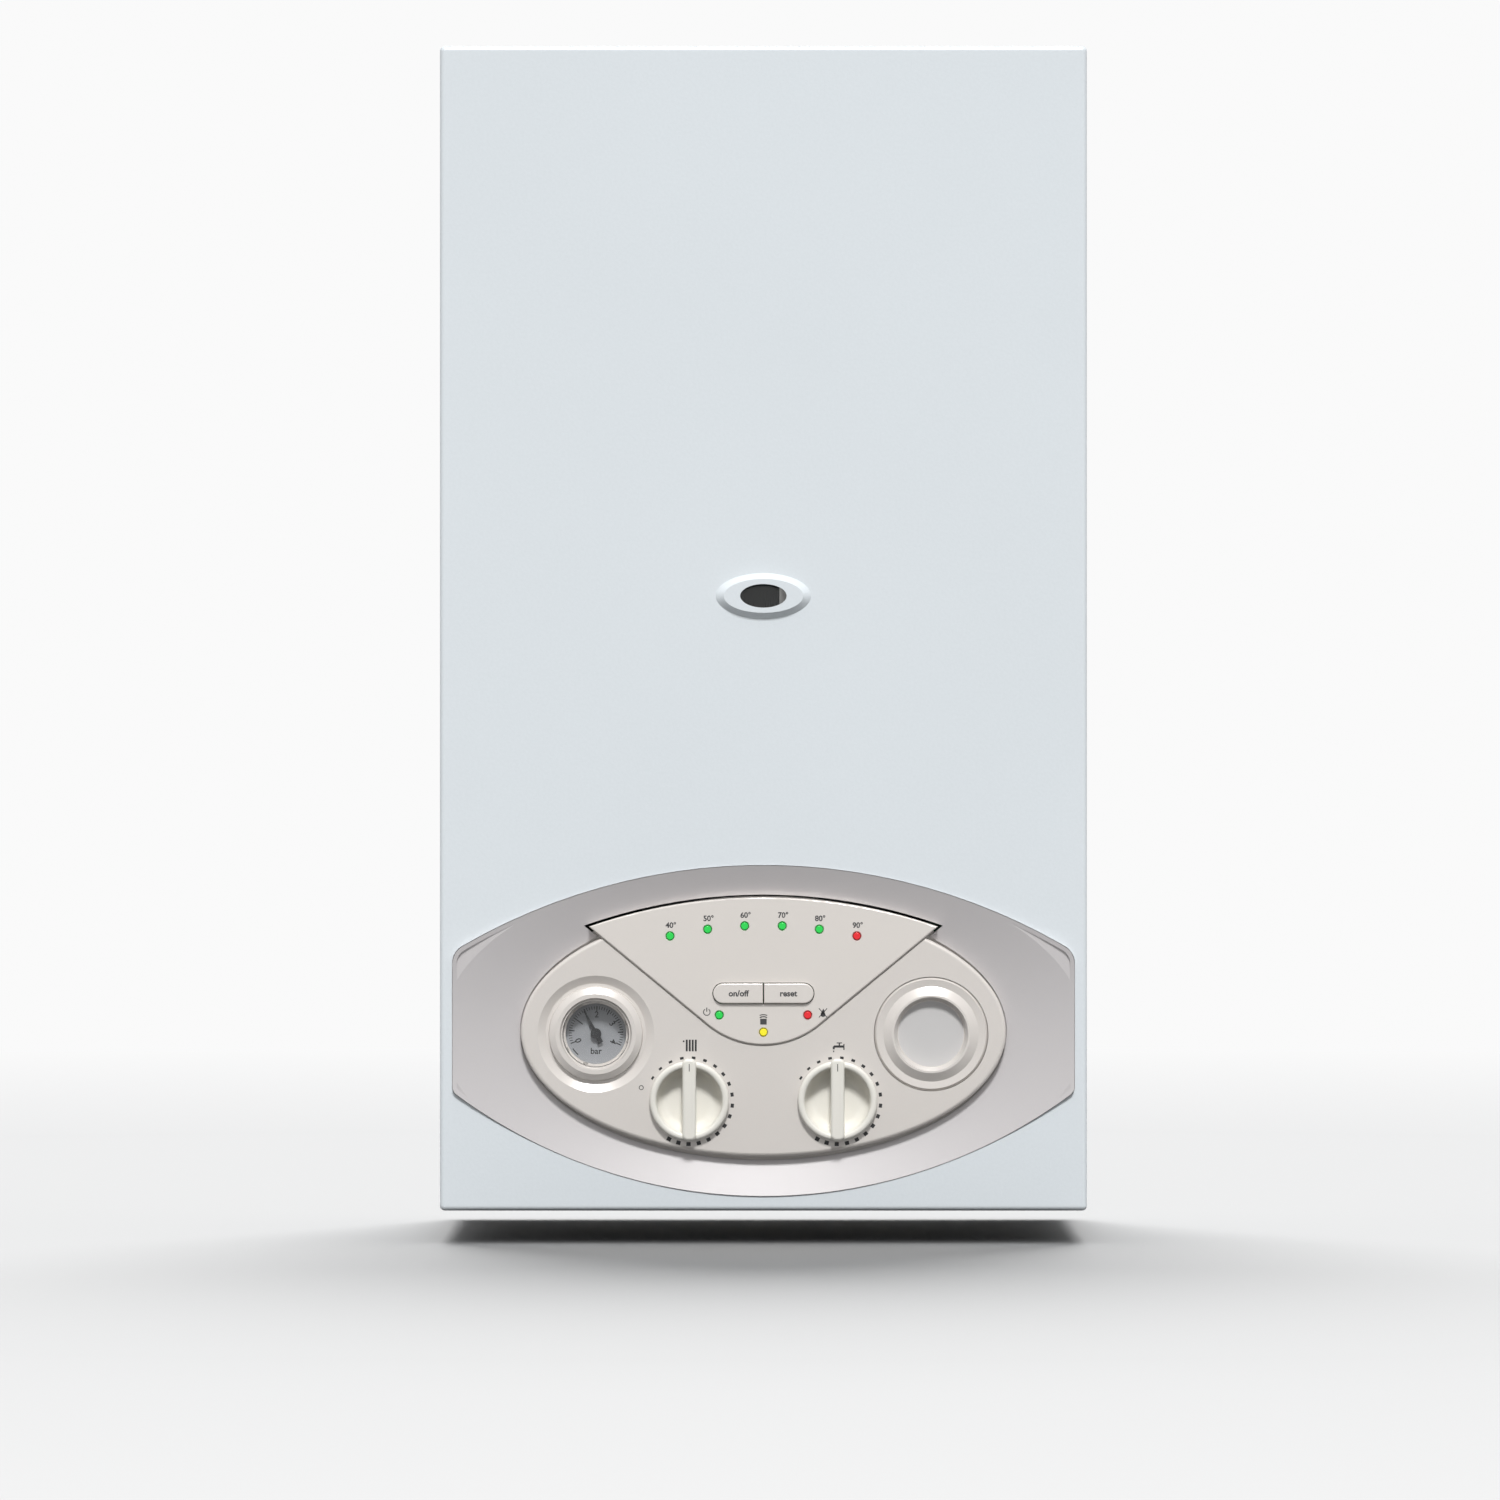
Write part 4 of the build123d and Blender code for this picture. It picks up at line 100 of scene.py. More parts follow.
def grain_group():
    """Moulded or sprayed surface: fine grain, slow shade drift and a few soft scuffs."""
    tree, given, out = shader_group(
        "surface_grain",
        [
            ("Colour", COLOUR, (0.8, 0.8, 0.8, 1)),
            ("Shade drift", FLOAT, 0.04),
            ("Roughness", FLOAT, 0.4),
            ("Grain size", FLOAT, 900.0),
            ("Scuffs", FLOAT, 0.1),
        ],
        FINISH_OUT,
    )
    place = tree.add("ShaderNodeTexCoord").outputs["Object"]
    grain = tree.add(
        "ShaderNodeTexNoise", {"Vector": place, "Scale": given.outputs["Grain size"], "Detail": 2.0}
    )
    drift = tree.add("ShaderNodeTexNoise", {"Vector": place, "Scale": 5.0, "Detail": 3.0})
    stretch = tree.add("ShaderNodeMapping", {"Vector": place, "Scale": (30.0, 30.0, 9.0)})
    scuff = tree.add("ShaderNodeTexNoise", {"Vector": stretch.outputs[0], "Scale": 4.0, "Detail": 6.0})
    spots = tree.ramp(scuff.outputs["Fac"], 0.62, 0.74)
    spots = tree.math("MULTIPLY", spots, given.outputs["Scuffs"])
    swing = tree.ramp(drift.outputs["Fac"], 0.3, 0.7, -0.5, 0.5)
    swing = tree.math("MULTIPLY", swing, given.outputs["Shade drift"])
    fine = tree.ramp(grain.outputs["Fac"], 0.3, 0.7, -0.012, 0.012)
    value = tree.math("ADD", tree.math("ADD", swing, fine), 1.0)
    shade = tree.add("ShaderNodeHueSaturation", {"Value": value, "Color": given.outputs["Colour"]})
    dull = tree.add("ShaderNodeHueSaturation", {"Value": 0.86, "Color": shade.outputs[0]})
    colour = tree.mix(spots, shade.outputs[0], dull.outputs[0])
    rough = tree.math("ADD", given.outputs["Roughness"], tree.math("MULTIPLY", spots, 0.25))
    rough = tree.math("ADD", rough, tree.math("MULTIPLY", swing, 0.6))
    return close_finish(tree, out, colour, rough, grain.outputs["Fac"])


def brushed_group():
    """Drawn or rolled metal: streaks along one axis and slow tarnish."""
    tree, given, out = shader_group(
        "brushed_metal",
        [
            ("Colour", COLOUR, (0.7, 0.7, 0.7, 1)),
            ("Tarnish", COLOUR, (0.4, 0.4, 0.4, 1)),
            ("Tarnish amount", FLOAT, 0.3),
            ("Roughness", FLOAT, 0.3),
            ("Streak across", FLOAT, 900.0),
            ("Streak along", FLOAT, 20.0),
        ],
        FINISH_OUT,
    )
    place = tree.add("ShaderNodeTexCoord").outputs["Object"]
    spread = tree.add(
        "ShaderNodeCombineXYZ",
        {
            "X": given.outputs["Streak across"],
            "Y": given.outputs["Streak across"],
            "Z": given.outputs["Streak along"],
        },
    )
    stretched = tree.add("ShaderNodeVectorMath", {0: place, 1: spread.outputs[0]}, operation="MULTIPLY")
    streak = tree.add("ShaderNodeTexNoise", {"Vector": stretched.outputs[0], "Scale": 1.0, "Detail": 3.0})
    cloud = tree.add("ShaderNodeTexNoise", {"Vector": place, "Scale": 28.0, "Detail": 5.0})
    mask = tree.ramp(cloud.outputs["Fac"], 0.42, 0.68)
    mask = tree.math("MULTIPLY", mask, given.outputs["Tarnish amount"])
    colour = tree.mix(mask, given.outputs["Colour"], given.outputs["Tarnish"])
    lines = tree.ramp(streak.outputs["Fac"], 0.3, 0.7, -0.07, 0.07)
    rough = tree.math("ADD", given.outputs["Roughness"], lines)
    rough = tree.math("ADD", rough, tree.math("MULTIPLY", mask, 0.3))
    value = tree.math("ADD", tree.math("MULTIPLY", lines, 0.6), 1.0)
    shade = tree.add("ShaderNodeHueSaturation", {"Value": value, "Color": colour})
    return close_finish(tree, out, shade.outputs[0], rough, streak.outputs["Fac"])


def spangle_group():
    """Hot-dip zinc: crystal flakes of slightly different grey."""
    tree, given, out = shader_group(
        "zinc_spangle",
        [
            ("Colour", COLOUR, (0.66, 0.67, 0.68, 1)),
            ("Flake size", FLOAT, 110.0),
            ("Contrast", FLOAT, 0.3),
            ("Roughness", FLOAT, 0.38),
        ],
        FINISH_OUT,
    )
    place = tree.add("ShaderNodeTexCoord").outputs["Object"]
    wobble = tree.add("ShaderNodeTexNoise", {"Vector": place, "Scale": 60.0, "Detail": 2.0})
    push = tree.add("ShaderNodeVectorMath", {0: wobble.outputs["Color"], "Scale": 0.008}, operation="SCALE")
    moved = tree.add("ShaderNodeVectorMath", {0: place, 1: push.outputs[0]}, operation="ADD")
    flakes = tree.add(
        "ShaderNodeTexVoronoi", {"Vector": moved.outputs[0], "Scale": given.outputs["Flake size"]}
    )
    tone = tree.add("ShaderNodeSeparateColor", {0: flakes.outputs["Color"]}).outputs[0]
    swing = tree.math("MULTIPLY", tree.math("SUBTRACT", tone, 0.5), given.outputs["Contrast"])
    shade = tree.add(
        "ShaderNodeHueSaturation", {"Value": tree.math("ADD", swing, 1.0), "Color": given.outputs["Colour"]}
    )
    rough = tree.math("ADD", given.outputs["Roughness"], tree.math("MULTIPLY", swing, 0.7))
    return close_finish(tree, out, shade.outputs[0], rough, tone)


GROUPS = {"grain": grain_group(), "brushed": brushed_group(), "spangle": spangle_group()}


def finish(name, group, colour, bump, settings, shader=None):
    """A material: one finish group into a Principled shader, with its relief as a bump."""
    material = bpy.data.materials.new(name)
    material.use_nodes = True
    tree = Tree(material.node_tree)
    surface = material.node_tree.nodes["Principled BSDF"]
    given = {"Colour": (*colour, 1)}
    given.update(settings)
    group_node = tree.add("ShaderNodeGroup", node_tree=GROUPS[group])
    for label, value in given.items():
        group_node.inputs[label].default_value = value
    link = material.node_tree.links.new
    link(group_node.outputs["Colour"], surface.inputs["Base Color"])
    link(group_node.outputs["Roughness"], surface.inputs["Roughness"])
    relief = tree.add("ShaderNodeBump", {"Strength": bump, "Distance": 0.0004})
    link(group_node.outputs["Height"], relief.inputs["Height"])
    link(relief.outputs["Normal"], surface.inputs["Normal"])
    for label, value in (shader or {}).items():
        surface.inputs[label].default_value = value
    return material


def plastic(name, colour, roughness, grain=1500.0, bump=0.12, drift=0.03, scuffs=0.05, shader=None):
    """Moulded plastic or paint from the grain group."""
    settings = {
        "Shade drift": drift,
        "Roughness": roughness,
        "Grain size": grain,
        "Scuffs": scuffs,
    }
    return finish(name, "grain", colour, bump, settings, shader)


def metal(name, colour, tarnish, amount, roughness, streaks=(900.0, 40.0), bump=0.1):
    """Drawn, rolled or machined metal from the brushed group."""
    settings = {
        "Tarnish": (*tarnish, 1),
        "Tarnish amount": amount,
        "Roughness": roughness,
        "Streak across": streaks[0],
        "Streak along": streaks[1],
    }
    return finish(name, "brushed", colour, bump, settings, {"Metallic": 1.0})


def zinc(name, colour, flake, contrast, roughness):
    """Galvanised sheet from the spangle group."""
    settings = {"Flake size": flake, "Contrast": contrast, "Roughness": roughness}
    return finish(name, "spangle", colour, 0.03, settings, {"Metallic": 1.0})


def clear(name, colour, alpha, roughness, coat):
    """Clear glass or acrylic: nearly see-through, with a glossy coat."""
    material = plastic(name, colour, roughness, grain=300.0, bump=0.0, drift=0.0, scuffs=0.0)
    surface = material.node_tree.nodes["Principled BSDF"]
    surface.inputs["Alpha"].default_value = alpha
    surface.inputs["Coat Weight"].default_value = coat
    surface.inputs["Specular IOR Level"].default_value = coat
    surface.inputs["Coat Roughness"].default_value = 0.03
    return material


def lamp_lens(name, colour, painted_glow):
    """Coloured lens of an indicator lamp with a painted glow: its emission is brightest where the lens faces
    the viewer, as a painted highlight, and weaker towards the rim, as painted shade.
    """
    material = plastic(name, colour, 0.22, grain=2500.0, bump=0.05, drift=0.0, scuffs=0.0)
    tree = Tree(material.node_tree)
    surface = material.node_tree.nodes["Principled BSDF"]
    surface.inputs["Coat Weight"].default_value = 0.2
    # painted highlight and shade: the glow is strongest where the lens faces the viewer and fades towards
    # its rim
    facing = tree.add("ShaderNodeLayerWeight", {"Blend": 0.35}).outputs["Facing"]
    centre = tree.ramp(facing, 0.0, 0.6, 1.0, 0.25)
    painted_highlight = tree.mix(centre, (0, 0, 0, 1), (*painted_glow, 1))
    material.node_tree.links.new(painted_highlight, surface.inputs["Emission Color"])
    surface.inputs["Emission Strength"].default_value = 0.5
    return material


GLOSS = {"Coat Weight": 0.25, "Coat Roughness": 0.2}
PEARL = {"Metallic": 0.15, "Coat Weight": 0.3, "Coat Roughness": 0.16}

PAINT = plastic("casing_white_enamel", (0.70, 0.745, 0.775), 0.36, 520.0, 0.10, 0.02, 0.04, GLOSS)
ZINC = zinc("galvanised_sheet", (0.60, 0.61, 0.62), 95.0, 0.22, 0.36)
FASCIA = plastic("fascia_silver_plastic", (0.55, 0.528, 0.53), 0.32, 2600.0, 0.10, 0.03, 0.03, PEARL)
PANEL = plastic("panel_pearl_plastic", (0.67, 0.632, 0.596), 0.28, 2600.0, 0.08, 0.02, 0.02, PEARL)
SHIELD = plastic("shield_pearl_plastic", (0.705, 0.665, 0.625), 0.26, 2600.0, 0.08, 0.02, 0.02, PEARL)
KNOB = plastic("knob_cream_plastic", (0.78, 0.76, 0.70), 0.32, 2200.0, 0.10, 0.02, 0.02)
HOUSING = plastic("housing_dark_plastic", (0.055, 0.057, 0.06), 0.5, 1100.0, 0.3, 0.08, 0.2)
GREEN_LENS = lamp_lens("lens_green", (0.005, 0.36, 0.04), (0.005, 0.62, 0.07))
YELLOW_LENS = lamp_lens("lens_yellow", (0.66, 0.58, 0.01), (0.70, 0.62, 0.01))
RED_LENS = lamp_lens("lens_red", (0.60, 0.006, 0.012), (0.45, 0.006, 0.012))
DIAL = plastic("dial_grey_enamel", (0.30, 0.31, 0.325), 0.45, 3000.0, 0.05, 0.02, 0.02)
CAP = plastic("cap_grey_plastic", (0.57, 0.56, 0.555), 0.34, 2600.0, 0.08, 0.02, 0.02)
GLASS = clear("lens_clear_acrylic", (0.50, 0.52, 0.54), 0.03, 0.05, 0.25)
SIGHT = clear("sight_glass_tinted", (0.02, 0.07, 0.075), 0.62, 0.06, 0.5)
NEEDLE = plastic("needle_black_enamel", (0.012, 0.012, 0.013), 0.35, 3000.0, 0.05, 0.02, 0.0)
COPPER = metal("copper_drawn", (0.78, 0.36, 0.22), (0.30, 0.12, 0.07), 0.55, 0.24)
BRASS = metal("brass_cast", (0.68, 0.50, 0.22), (0.36, 0.24, 0.10), 0.4, 0.34, (500.0, 500.0), 0.3)
ALUMINIUM = metal("aluminium_cast", (0.68, 0.69, 0.70), (0.45, 0.45, 0.45), 0.3, 0.42, (420.0, 420.0), 0.5)
STEEL = metal("steel_plated", (0.58, 0.58, 0.57), (0.34, 0.33, 0.31), 0.3, 0.28)
STAINLESS = metal("stainless_pressed", (0.62, 0.61, 0.59), (0.42, 0.36, 0.26), 0.25, 0.26)
RUBBER = plastic("seal_black_rubber", (0.03, 0.03, 0.032), 0.72, 900.0, 0.5, 0.1, 0.3)
CERAMIC = plastic("insulation_fibre", (0.80, 0.78, 0.72), 0.92, 420.0, 0.9, 0.10, 0.3)
VESSEL = plastic("vessel_red_paint", (0.42, 0.035, 0.03), 0.42, 420.0, 0.2, 0.06, 0.15)
IRON = plastic("pump_black_casting", (0.035, 0.036, 0.038), 0.55, 500.0, 0.8, 0.1, 0.2)
BOARD = plastic("board_green_resist", (0.02, 0.16, 0.06), 0.32, 1200.0, 0.1, 0.08, 0.05)
HANDLE_BLACK = plastic("handle_black_plastic", (0.03, 0.03, 0.032), 0.42, 1500.0, 0.2, 0.05, 0.1)
HANDLE_RED = plastic("handle_red_plastic", (0.55, 0.03, 0.03), 0.38, 1500.0, 0.15, 0.05, 0.1)
INK = plastic("print_dark_ink", (0.018, 0.018, 0.019), 0.55, 3500.0, 0.05, 0.05, 0.0)
INK_GREY = plastic("print_grey_ink", (0.045, 0.045, 0.047), 0.55, 3500.0, 0.05, 0.05, 0.0)

FINISH_OF_NODE = {
    "back_frame": ZINC, "left_side_panel": PAINT, "right_side_panel": PAINT, "top_panel": PAINT,
    "bottom_tray": ZINC, "sheet_screws": STEEL, "hinge_pins": STEEL, "chamber_box": ZINC,
    "chamber_seal": RUBBER, "chamber_cover": ZINC, "sight_glass": SIGHT, "sight_frame": STEEL,
    "combustion_shell": STAINLESS, "insulation_boards": CERAMIC, "exchanger_tubes": COPPER,
    "exchanger_fins": COPPER, "burner_bars": STAINLESS, "gas_manifold": ALUMINIUM,
    "electrodes": CERAMIC, "flue_hood": ZINC, "fan_housing": ALUMINIUM, "fan_motor": STEEL,
    "flue_spigot": ZINC, "air_pressure_switch": HANDLE_BLACK, "expansion_vessel": VESSEL,
    "plate_exchanger": STAINLESS, "pipe_stubs": BRASS, "flow_group": BRASS, "diverter_motor": HANDLE_BLACK,
    "return_group": BRASS, "pump_body": IRON, "pump_motor": STEEL, "air_vent": BRASS,
    "gas_valve": ALUMINIUM, "gas_pipe": COPPER, "water_pipes": COPPER, "relief_valve": BRASS,
    "filling_tap": BRASS, "cable_gland": HANDLE_BLACK, "front_cover": PAINT, "fascia": FASCIA,
    "oval_panel": PANEL, "display_shield": SHIELD, "green_lenses": GREEN_LENS, "yellow_lens": YELLOW_LENS,
    "red_lenses": RED_LENS, "gauge_case": PANEL, "gauge_lens": GLASS, "clock_cap": PANEL,
    "circuit_board": BOARD, "control_housing": HOUSING, "heating_knob": KNOB, "hot_water_knob": KNOB,
    "power_button": SHIELD, "reset_button": SHIELD, "gauge_needle": NEEDLE, "fan_impeller": ALUMINIUM,
    "pump_impeller": IRON, "relief_knob": HANDLE_RED, "filling_knob": HANDLE_BLACK,
}


def dress(node, material):
    """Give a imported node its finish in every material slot."""
    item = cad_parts[node]
    if not item.material_slots:
        item.data.materials.append(material)
    for slot in item.material_slots:
        slot.material = material


for node_name, node_finish in FINISH_OF_NODE.items():
    dress(node_name, node_finish)

# ------------------------------------------------------------------ printed marks and small solids

INK_PROUD = 0.04 * MM
INK_SUNK = 0.02 * MM


def polygon_mesh(outlines, depth, proud=INK_PROUD, sunk=INK_SUNK):
    """Flat marks, each a list of (x, z) points in mm, standing just proud of a face at that depth."""
    mesh = bmesh.new()
    for outline in outlines:
        front = [mesh.verts.new((x * MM, -depth * MM - proud, z * MM)) for x, z in outline]
        back = [mesh.verts.new((x * MM, -depth * MM + sunk, z * MM)) for x, z in outline]
        mesh.faces.new(front)
        mesh.faces.new(back[::-1])
        for i, corner in enumerate(front):
            j = (i + 1) % len(front)
            mesh.faces.new((corner, back[i], back[j], front[j]))
    bmesh.ops.recalc_face_normals(mesh, faces=mesh.faces)
    return mesh


def lettering(text, centre, height, depth, bold=0.08, lean=0.0):
    """Generic lettering as a thin raised mesh, centred at (x, z) in mm, turned clockwise by lean."""
    curve = bpy.data.curves.new("lettering", "FONT")
    curve.body = text
    curve.align_x, curve.align_y = "CENTER", "CENTER"
    curve.size = height * MM / 0.70
    curve.extrude = (INK_PROUD + INK_SUNK) / 2
    curve.offset = bold * MM
    curve.resolution_u = 4
    carrier = bpy.data.objects.new("lettering", curve)
    bpy.context.scene.collection.objects.link(carrier)
    bpy.context.view_layer.update()
    flat = bpy.data.meshes.new_from_object(carrier.evaluated_get(bpy.context.evaluated_depsgraph_get()))
    bpy.data.objects.remove(carrier)
    bpy.data.curves.remove(curve)
    turn = Matrix.Rotation(math.radians(lean), 4, "Y") @ Matrix.Rotation(math.radians(90), 4, "X")
    middle = -depth * MM - (INK_PROUD - INK_SUNK) / 2
    flat.transform(Matrix.Translation((centre[0] * MM, middle, centre[1] * MM)) @ turn)
    mesh = bmesh.new()
    mesh.from_mesh(flat)
    bpy.data.meshes.remove(flat)
    return mesh


def join_meshes(meshes):
    """One bmesh from several."""
    whole = bmesh.new()
    for part in meshes:
        holder = bpy.data.meshes.new("holder")
        part.to_mesh(holder)
        part.free()
        whole.from_mesh(holder)
        bpy.data.meshes.remove(holder)
    return whole


def piece(name, mesh, material, body, smooth=None):
    """Turn a bmesh into a finished piece that rides on a body."""
    data = bpy.data.meshes.new(name)
    mesh.to_mesh(data)
    mesh.free()
    data.materials.append(material)
    if smooth is not None:
        data.shade_smooth()
        data.set_sharp_from_angle(angle=math.radians(smooth))
    item = bpy.data.objects.new(name, data)
    bpy.context.scene.collection.objects.link(item)
    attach(item, body)
    return item


def ring(centre, outer, inner, steps=48, start=0.0, sweep=360.0):
    """Quads of a flat ring or arc in the (x, z) plane, in mm, angles clockwise from the top."""
    quads = []
    for i in range(steps):
        a = math.radians(start + sweep * i / steps)
        b = math.radians(start + sweep * (i + 1) / steps)
        quads.append([
            (centre[0] + r * math.sin(t), centre[1] + r * math.cos(t))
            for r, t in ((inner, a), (outer, a), (outer, b), (inner, b))
        ])
    return quads


def washer(centre, outer, inner, depth, steps=96):
    """A flat round plate with a hole, lying just proud of a face at that depth, in mm."""
    mesh = bmesh.new()
    edges = ((inner, INK_PROUD), (outer, INK_PROUD), (outer, -INK_SUNK), (inner, -INK_SUNK))
    loops = []
    for i in range(steps):
        turn = 2 * math.pi * i / steps
        across, up = math.sin(turn), math.cos(turn)
        loops.append([
            mesh.verts.new(((centre[0] + r * across) * MM, -depth * MM - proud, (centre[1] + r * up) * MM))
            for r, proud in edges
        ])
    for i, loop in enumerate(loops):
        following = loops[(i + 1) % steps]
        for a in range(4):
            b = (a + 1) % 4
            mesh.faces.new((loop[a], loop[b], following[b], following[a]))
    bmesh.ops.remove_doubles(mesh, verts=mesh.verts, dist=1e-6)
    bmesh.ops.recalc_face_normals(mesh, faces=mesh.faces)
    return mesh


def bar(centre, length, width, angle):
    """A flat bar centred at (x, z), its length turned clockwise from upright by angle degrees."""
    along = (math.sin(math.radians(angle)), math.cos(math.radians(angle)))
    across = (along[1], -along[0])
    corners = ((-0.5, -0.5), (0.5, -0.5), (0.5, 0.5), (-0.5, 0.5))
    return [
        (
            centre[0] + across[0] * width * a + along[0] * length * b,
            centre[1] + across[1] * width * a + along[1] * length * b,
        )
        for a, b in corners
    ]


def at(centre, radius, angle):
    """The point (x, z) at that radius and clockwise angle from a centre."""
    turn = math.radians(angle)
    return centre[0] + radius * math.sin(turn), centre[1] + radius * math.cos(turn)


# ------------------------------------------------------------------ repeated details

WHOLE, VECTOR, FINISH = "NodeSocketInt", "NodeSocketVector", "NodeSocketMaterial"


def geometry_group(name, inputs):
    """An empty geometry tree with its named inputs; returns its Tree and input node."""
    group = bpy.data.node_groups.new(name, "GeometryNodeTree")
    for label, kind in inputs:
        group.interface.new_socket(label, in_out="INPUT", socket_type=kind)
    group.interface.new_socket("Geometry", in_out="OUTPUT", socket_type="NodeSocketGeometry")
    tree = Tree(group)
    return tree, tree.add("NodeGroupInput")


def close_tree(tree, given, geometry):
    """End a geometry tree: realise its copies and give them their finish."""
    solid = tree.add("GeometryNodeRealizeInstances", {0: geometry})
    dressed = tree.add(
        "GeometryNodeSetMaterial", {"Geometry": solid.outputs[0], "Material": given.outputs["Finish"]}
    )
    out = tree.add("NodeGroupOutput")
    tree.tree.links.new(dressed.outputs[0], out.inputs[0])
    return tree.tree


def grow(group, values):
    """Run a geometry tree with these values and return the result as a bmesh."""
    carrier = bpy.data.objects.new("carrier", bpy.data.meshes.new("carrier"))
    bpy.context.scene.collection.objects.link(carrier)
    modifier = carrier.modifiers.new("grow", "NODES")
    modifier.node_group = group
    for item in group.interface.items_tree:
        if item.in_out == "INPUT":
            modifier[item.identifier] = values[item.name]
    carrier.update_tag()
    bpy.context.view_layer.update()
    result = bpy.data.meshes.new_from_object(carrier.evaluated_get(bpy.context.evaluated_depsgraph_get()))
    mesh = bmesh.new()
    mesh.from_mesh(result)
    bpy.data.meshes.remove(result)
    bpy.data.objects.remove(carrier)
    return mesh


def ring_of_marks():
    """Square marks on an arc about an axis square to the wall; they may grow along the arc."""
    tree, given = geometry_group(
        "ring_of_marks",
        [
            ("Count", WHOLE), ("Centre", VECTOR), ("Radius", FLOAT), ("Start", FLOAT), ("Sweep", FLOAT),
            ("Ease", FLOAT), ("First width", FLOAT), ("Last width", FLOAT), ("First length", FLOAT),
            ("Last length", FLOAT), ("Thickness", FLOAT), ("Finish", FINISH),
        ],
    )
    g = given.outputs
    line = tree.add("GeometryNodeMeshLine", {"Count": g["Count"]})
    index = tree.add("GeometryNodeInputIndex").outputs[0]
    share = tree.math("DIVIDE", index, tree.math("SUBTRACT", g["Count"], 1.0))
    rest = tree.math("SUBTRACT", 1.0, share)
    eased = tree.math("ADD", share, tree.math("MULTIPLY", g["Ease"], tree.math("MULTIPLY", share, rest)))
    angle = tree.math("ADD", g["Start"], tree.math("MULTIPLY", g["Sweep"], eased))
    across = tree.math("MULTIPLY", tree.math("SINE", angle), g["Radius"])
    up = tree.math("MULTIPLY", tree.math("COSINE", angle), g["Radius"])
    spot = tree.add("ShaderNodeCombineXYZ", {"X": across, "Z": up})
    place = tree.add("ShaderNodeVectorMath", {0: spot.outputs[0], 1: g["Centre"]}, operation="ADD")
    points = tree.add("GeometryNodeSetPosition", {"Geometry": line.outputs[0], "Position": place.outputs[0]})
    width = tree.ramp(share, 0.0, 1.0, g["First width"], g["Last width"])
    length = tree.ramp(share, 0.0, 1.0, g["First length"], g["Last length"])
    size = tree.add("ShaderNodeCombineXYZ", {"X": width, "Y": g["Thickness"], "Z": length})
    turn = tree.add("ShaderNodeCombineXYZ", {"Y": angle})
    block = tree.add("GeometryNodeMeshCube")
    copies = tree.add(
        "GeometryNodeInstanceOnPoints",
        {
            "Points": points.outputs[0], "Instance": block.outputs[0],
            "Rotation": turn.outputs[0], "Scale": size.outputs[0],
        },
    )
    return close_tree(tree, given, copies.outputs[0])


def screw_thread():
    """A thread ridge wound round an upright pipe."""
    tree, given = geometry_group(
        "screw_thread",
        [
            ("Centre", VECTOR), ("Radius", FLOAT), ("Height", FLOAT), ("Turns", FLOAT),
            ("Ridge", FLOAT), ("Finish", FINISH),
        ],
    )
    g = given.outputs
    spiral = tree.add(
        "GeometryNodeCurveSpiral",
        {
            "Resolution": 40, "Rotations": g["Turns"], "Start Radius": g["Radius"],
            "End Radius": g["Radius"], "Height": g["Height"],
        },
    )
    ridge = tree.add("GeometryNodeCurvePrimitiveCircle", {"Resolution": 4, "Radius": g["Ridge"]})
    wire = tree.add(
        "GeometryNodeCurveToMesh",
        {"Curve": spiral.outputs[0], "Profile Curve": ridge.outputs[0], "Fill Caps": True},
    )
    placed = tree.add("GeometryNodeTransform", {"Geometry": wire.outputs[0], "Translation": g["Centre"]})
    return close_tree(tree, given, placed.outputs[0])


RING_OF_MARKS = ring_of_marks()
SCREW_THREAD = screw_thread()


def marks_on_arc(centre, depth, count, radius, start, sweep, ease, widths, lengths, finish_material):
    """Printed marks on an arc, sizes in mm and angles in degrees clockwise from the top."""
    middle = (INK_PROUD - INK_SUNK) / 2
    return grow(RING_OF_MARKS, {
        "Count": count,
        "Centre": (centre[0] * MM, -depth * MM - middle, centre[1] * MM),
        "Radius": radius * MM,
        "Start": math.radians(start),
        "Sweep": math.radians(sweep),
        "Ease": ease,
        "First width": widths[0] * MM,
        "Last width": widths[1] * MM,
        "First length": lengths[0] * MM,
        "Last length": lengths[1] * MM,
        "Thickness": INK_PROUD + INK_SUNK,
        "Finish": finish_material,
    })


# ------------------------------------------------------------------ control panel prints

PANEL_FACE = 301.0
SHIELD_FACE = 302.3
KEY_FACE = 304.3
GRIP_FACE = 307.5
DIAL_FACE = 290.0
CAP_FACE = 297.6
CAP_CENTRE = (103.6, 109.3)
KNOB_X, KNOB_Z = 45.8, 68.0
GAUGE_CENTRE = (-103.6, 109.3)
SCALE_LAMPS = (-57.7, -34.5, -11.6, 11.6, 34.5, 57.7)
SCALE_ARC = 260.0
SCALE_TOP = 176.3
SCALE_TEXT_SHIFT, SCALE_TEXT_RISE = 0.6, 6.6
SCALE_TEXT, SCALE_TEXT_BOLD = 3.3, 0.13
KEY_WORD_X, KEY_WORD_Z = 15.4, 134.3
KEY_WORD, KEY_WORD_BOLD = 3.6, 0.16
RIB_COUNT, RIB_FIRST, RIB_PITCH = 4, -2.78, 1.85
RIB_HEIGHT, RIB_WIDTH = 7.2, 1.2
TICK_COUNT, TICK_RADIUS = 19, 26.7
TICK_START, TICK_SWEEP, TICK_EASE = -58, 266, 0.1
TICK_WIDTHS, TICK_LENGTHS = (2.2, 2.7), (1.3, 2.6)
OFF_RING_RADIUS, OFF_RING_ANGLE = 30.8, -74.6
DIAL_PLATE, SPINDLE_HOLE = 18.75, 0.9
DIAL_PRINT = DIAL_FACE + INK_PROUD / MM
DIAL_ZERO, DIAL_PER_BAR, DIAL_BARS = -111.5, 56.7, 4
FINE_MARKS = (41, 15.9, 0.42, 2.0)      # count, radius, width, length
HALF_BAR_MARKS = (9, 15.2, 0.65, 3.4)
DIAL_FIGURE_RADIUS, DIAL_WORD_DROP = 11.6, 11.0
DIAL_TEXT, DIAL_TEXT_BOLD = 3.7, 0.1
CAP_PLATE = 20.3
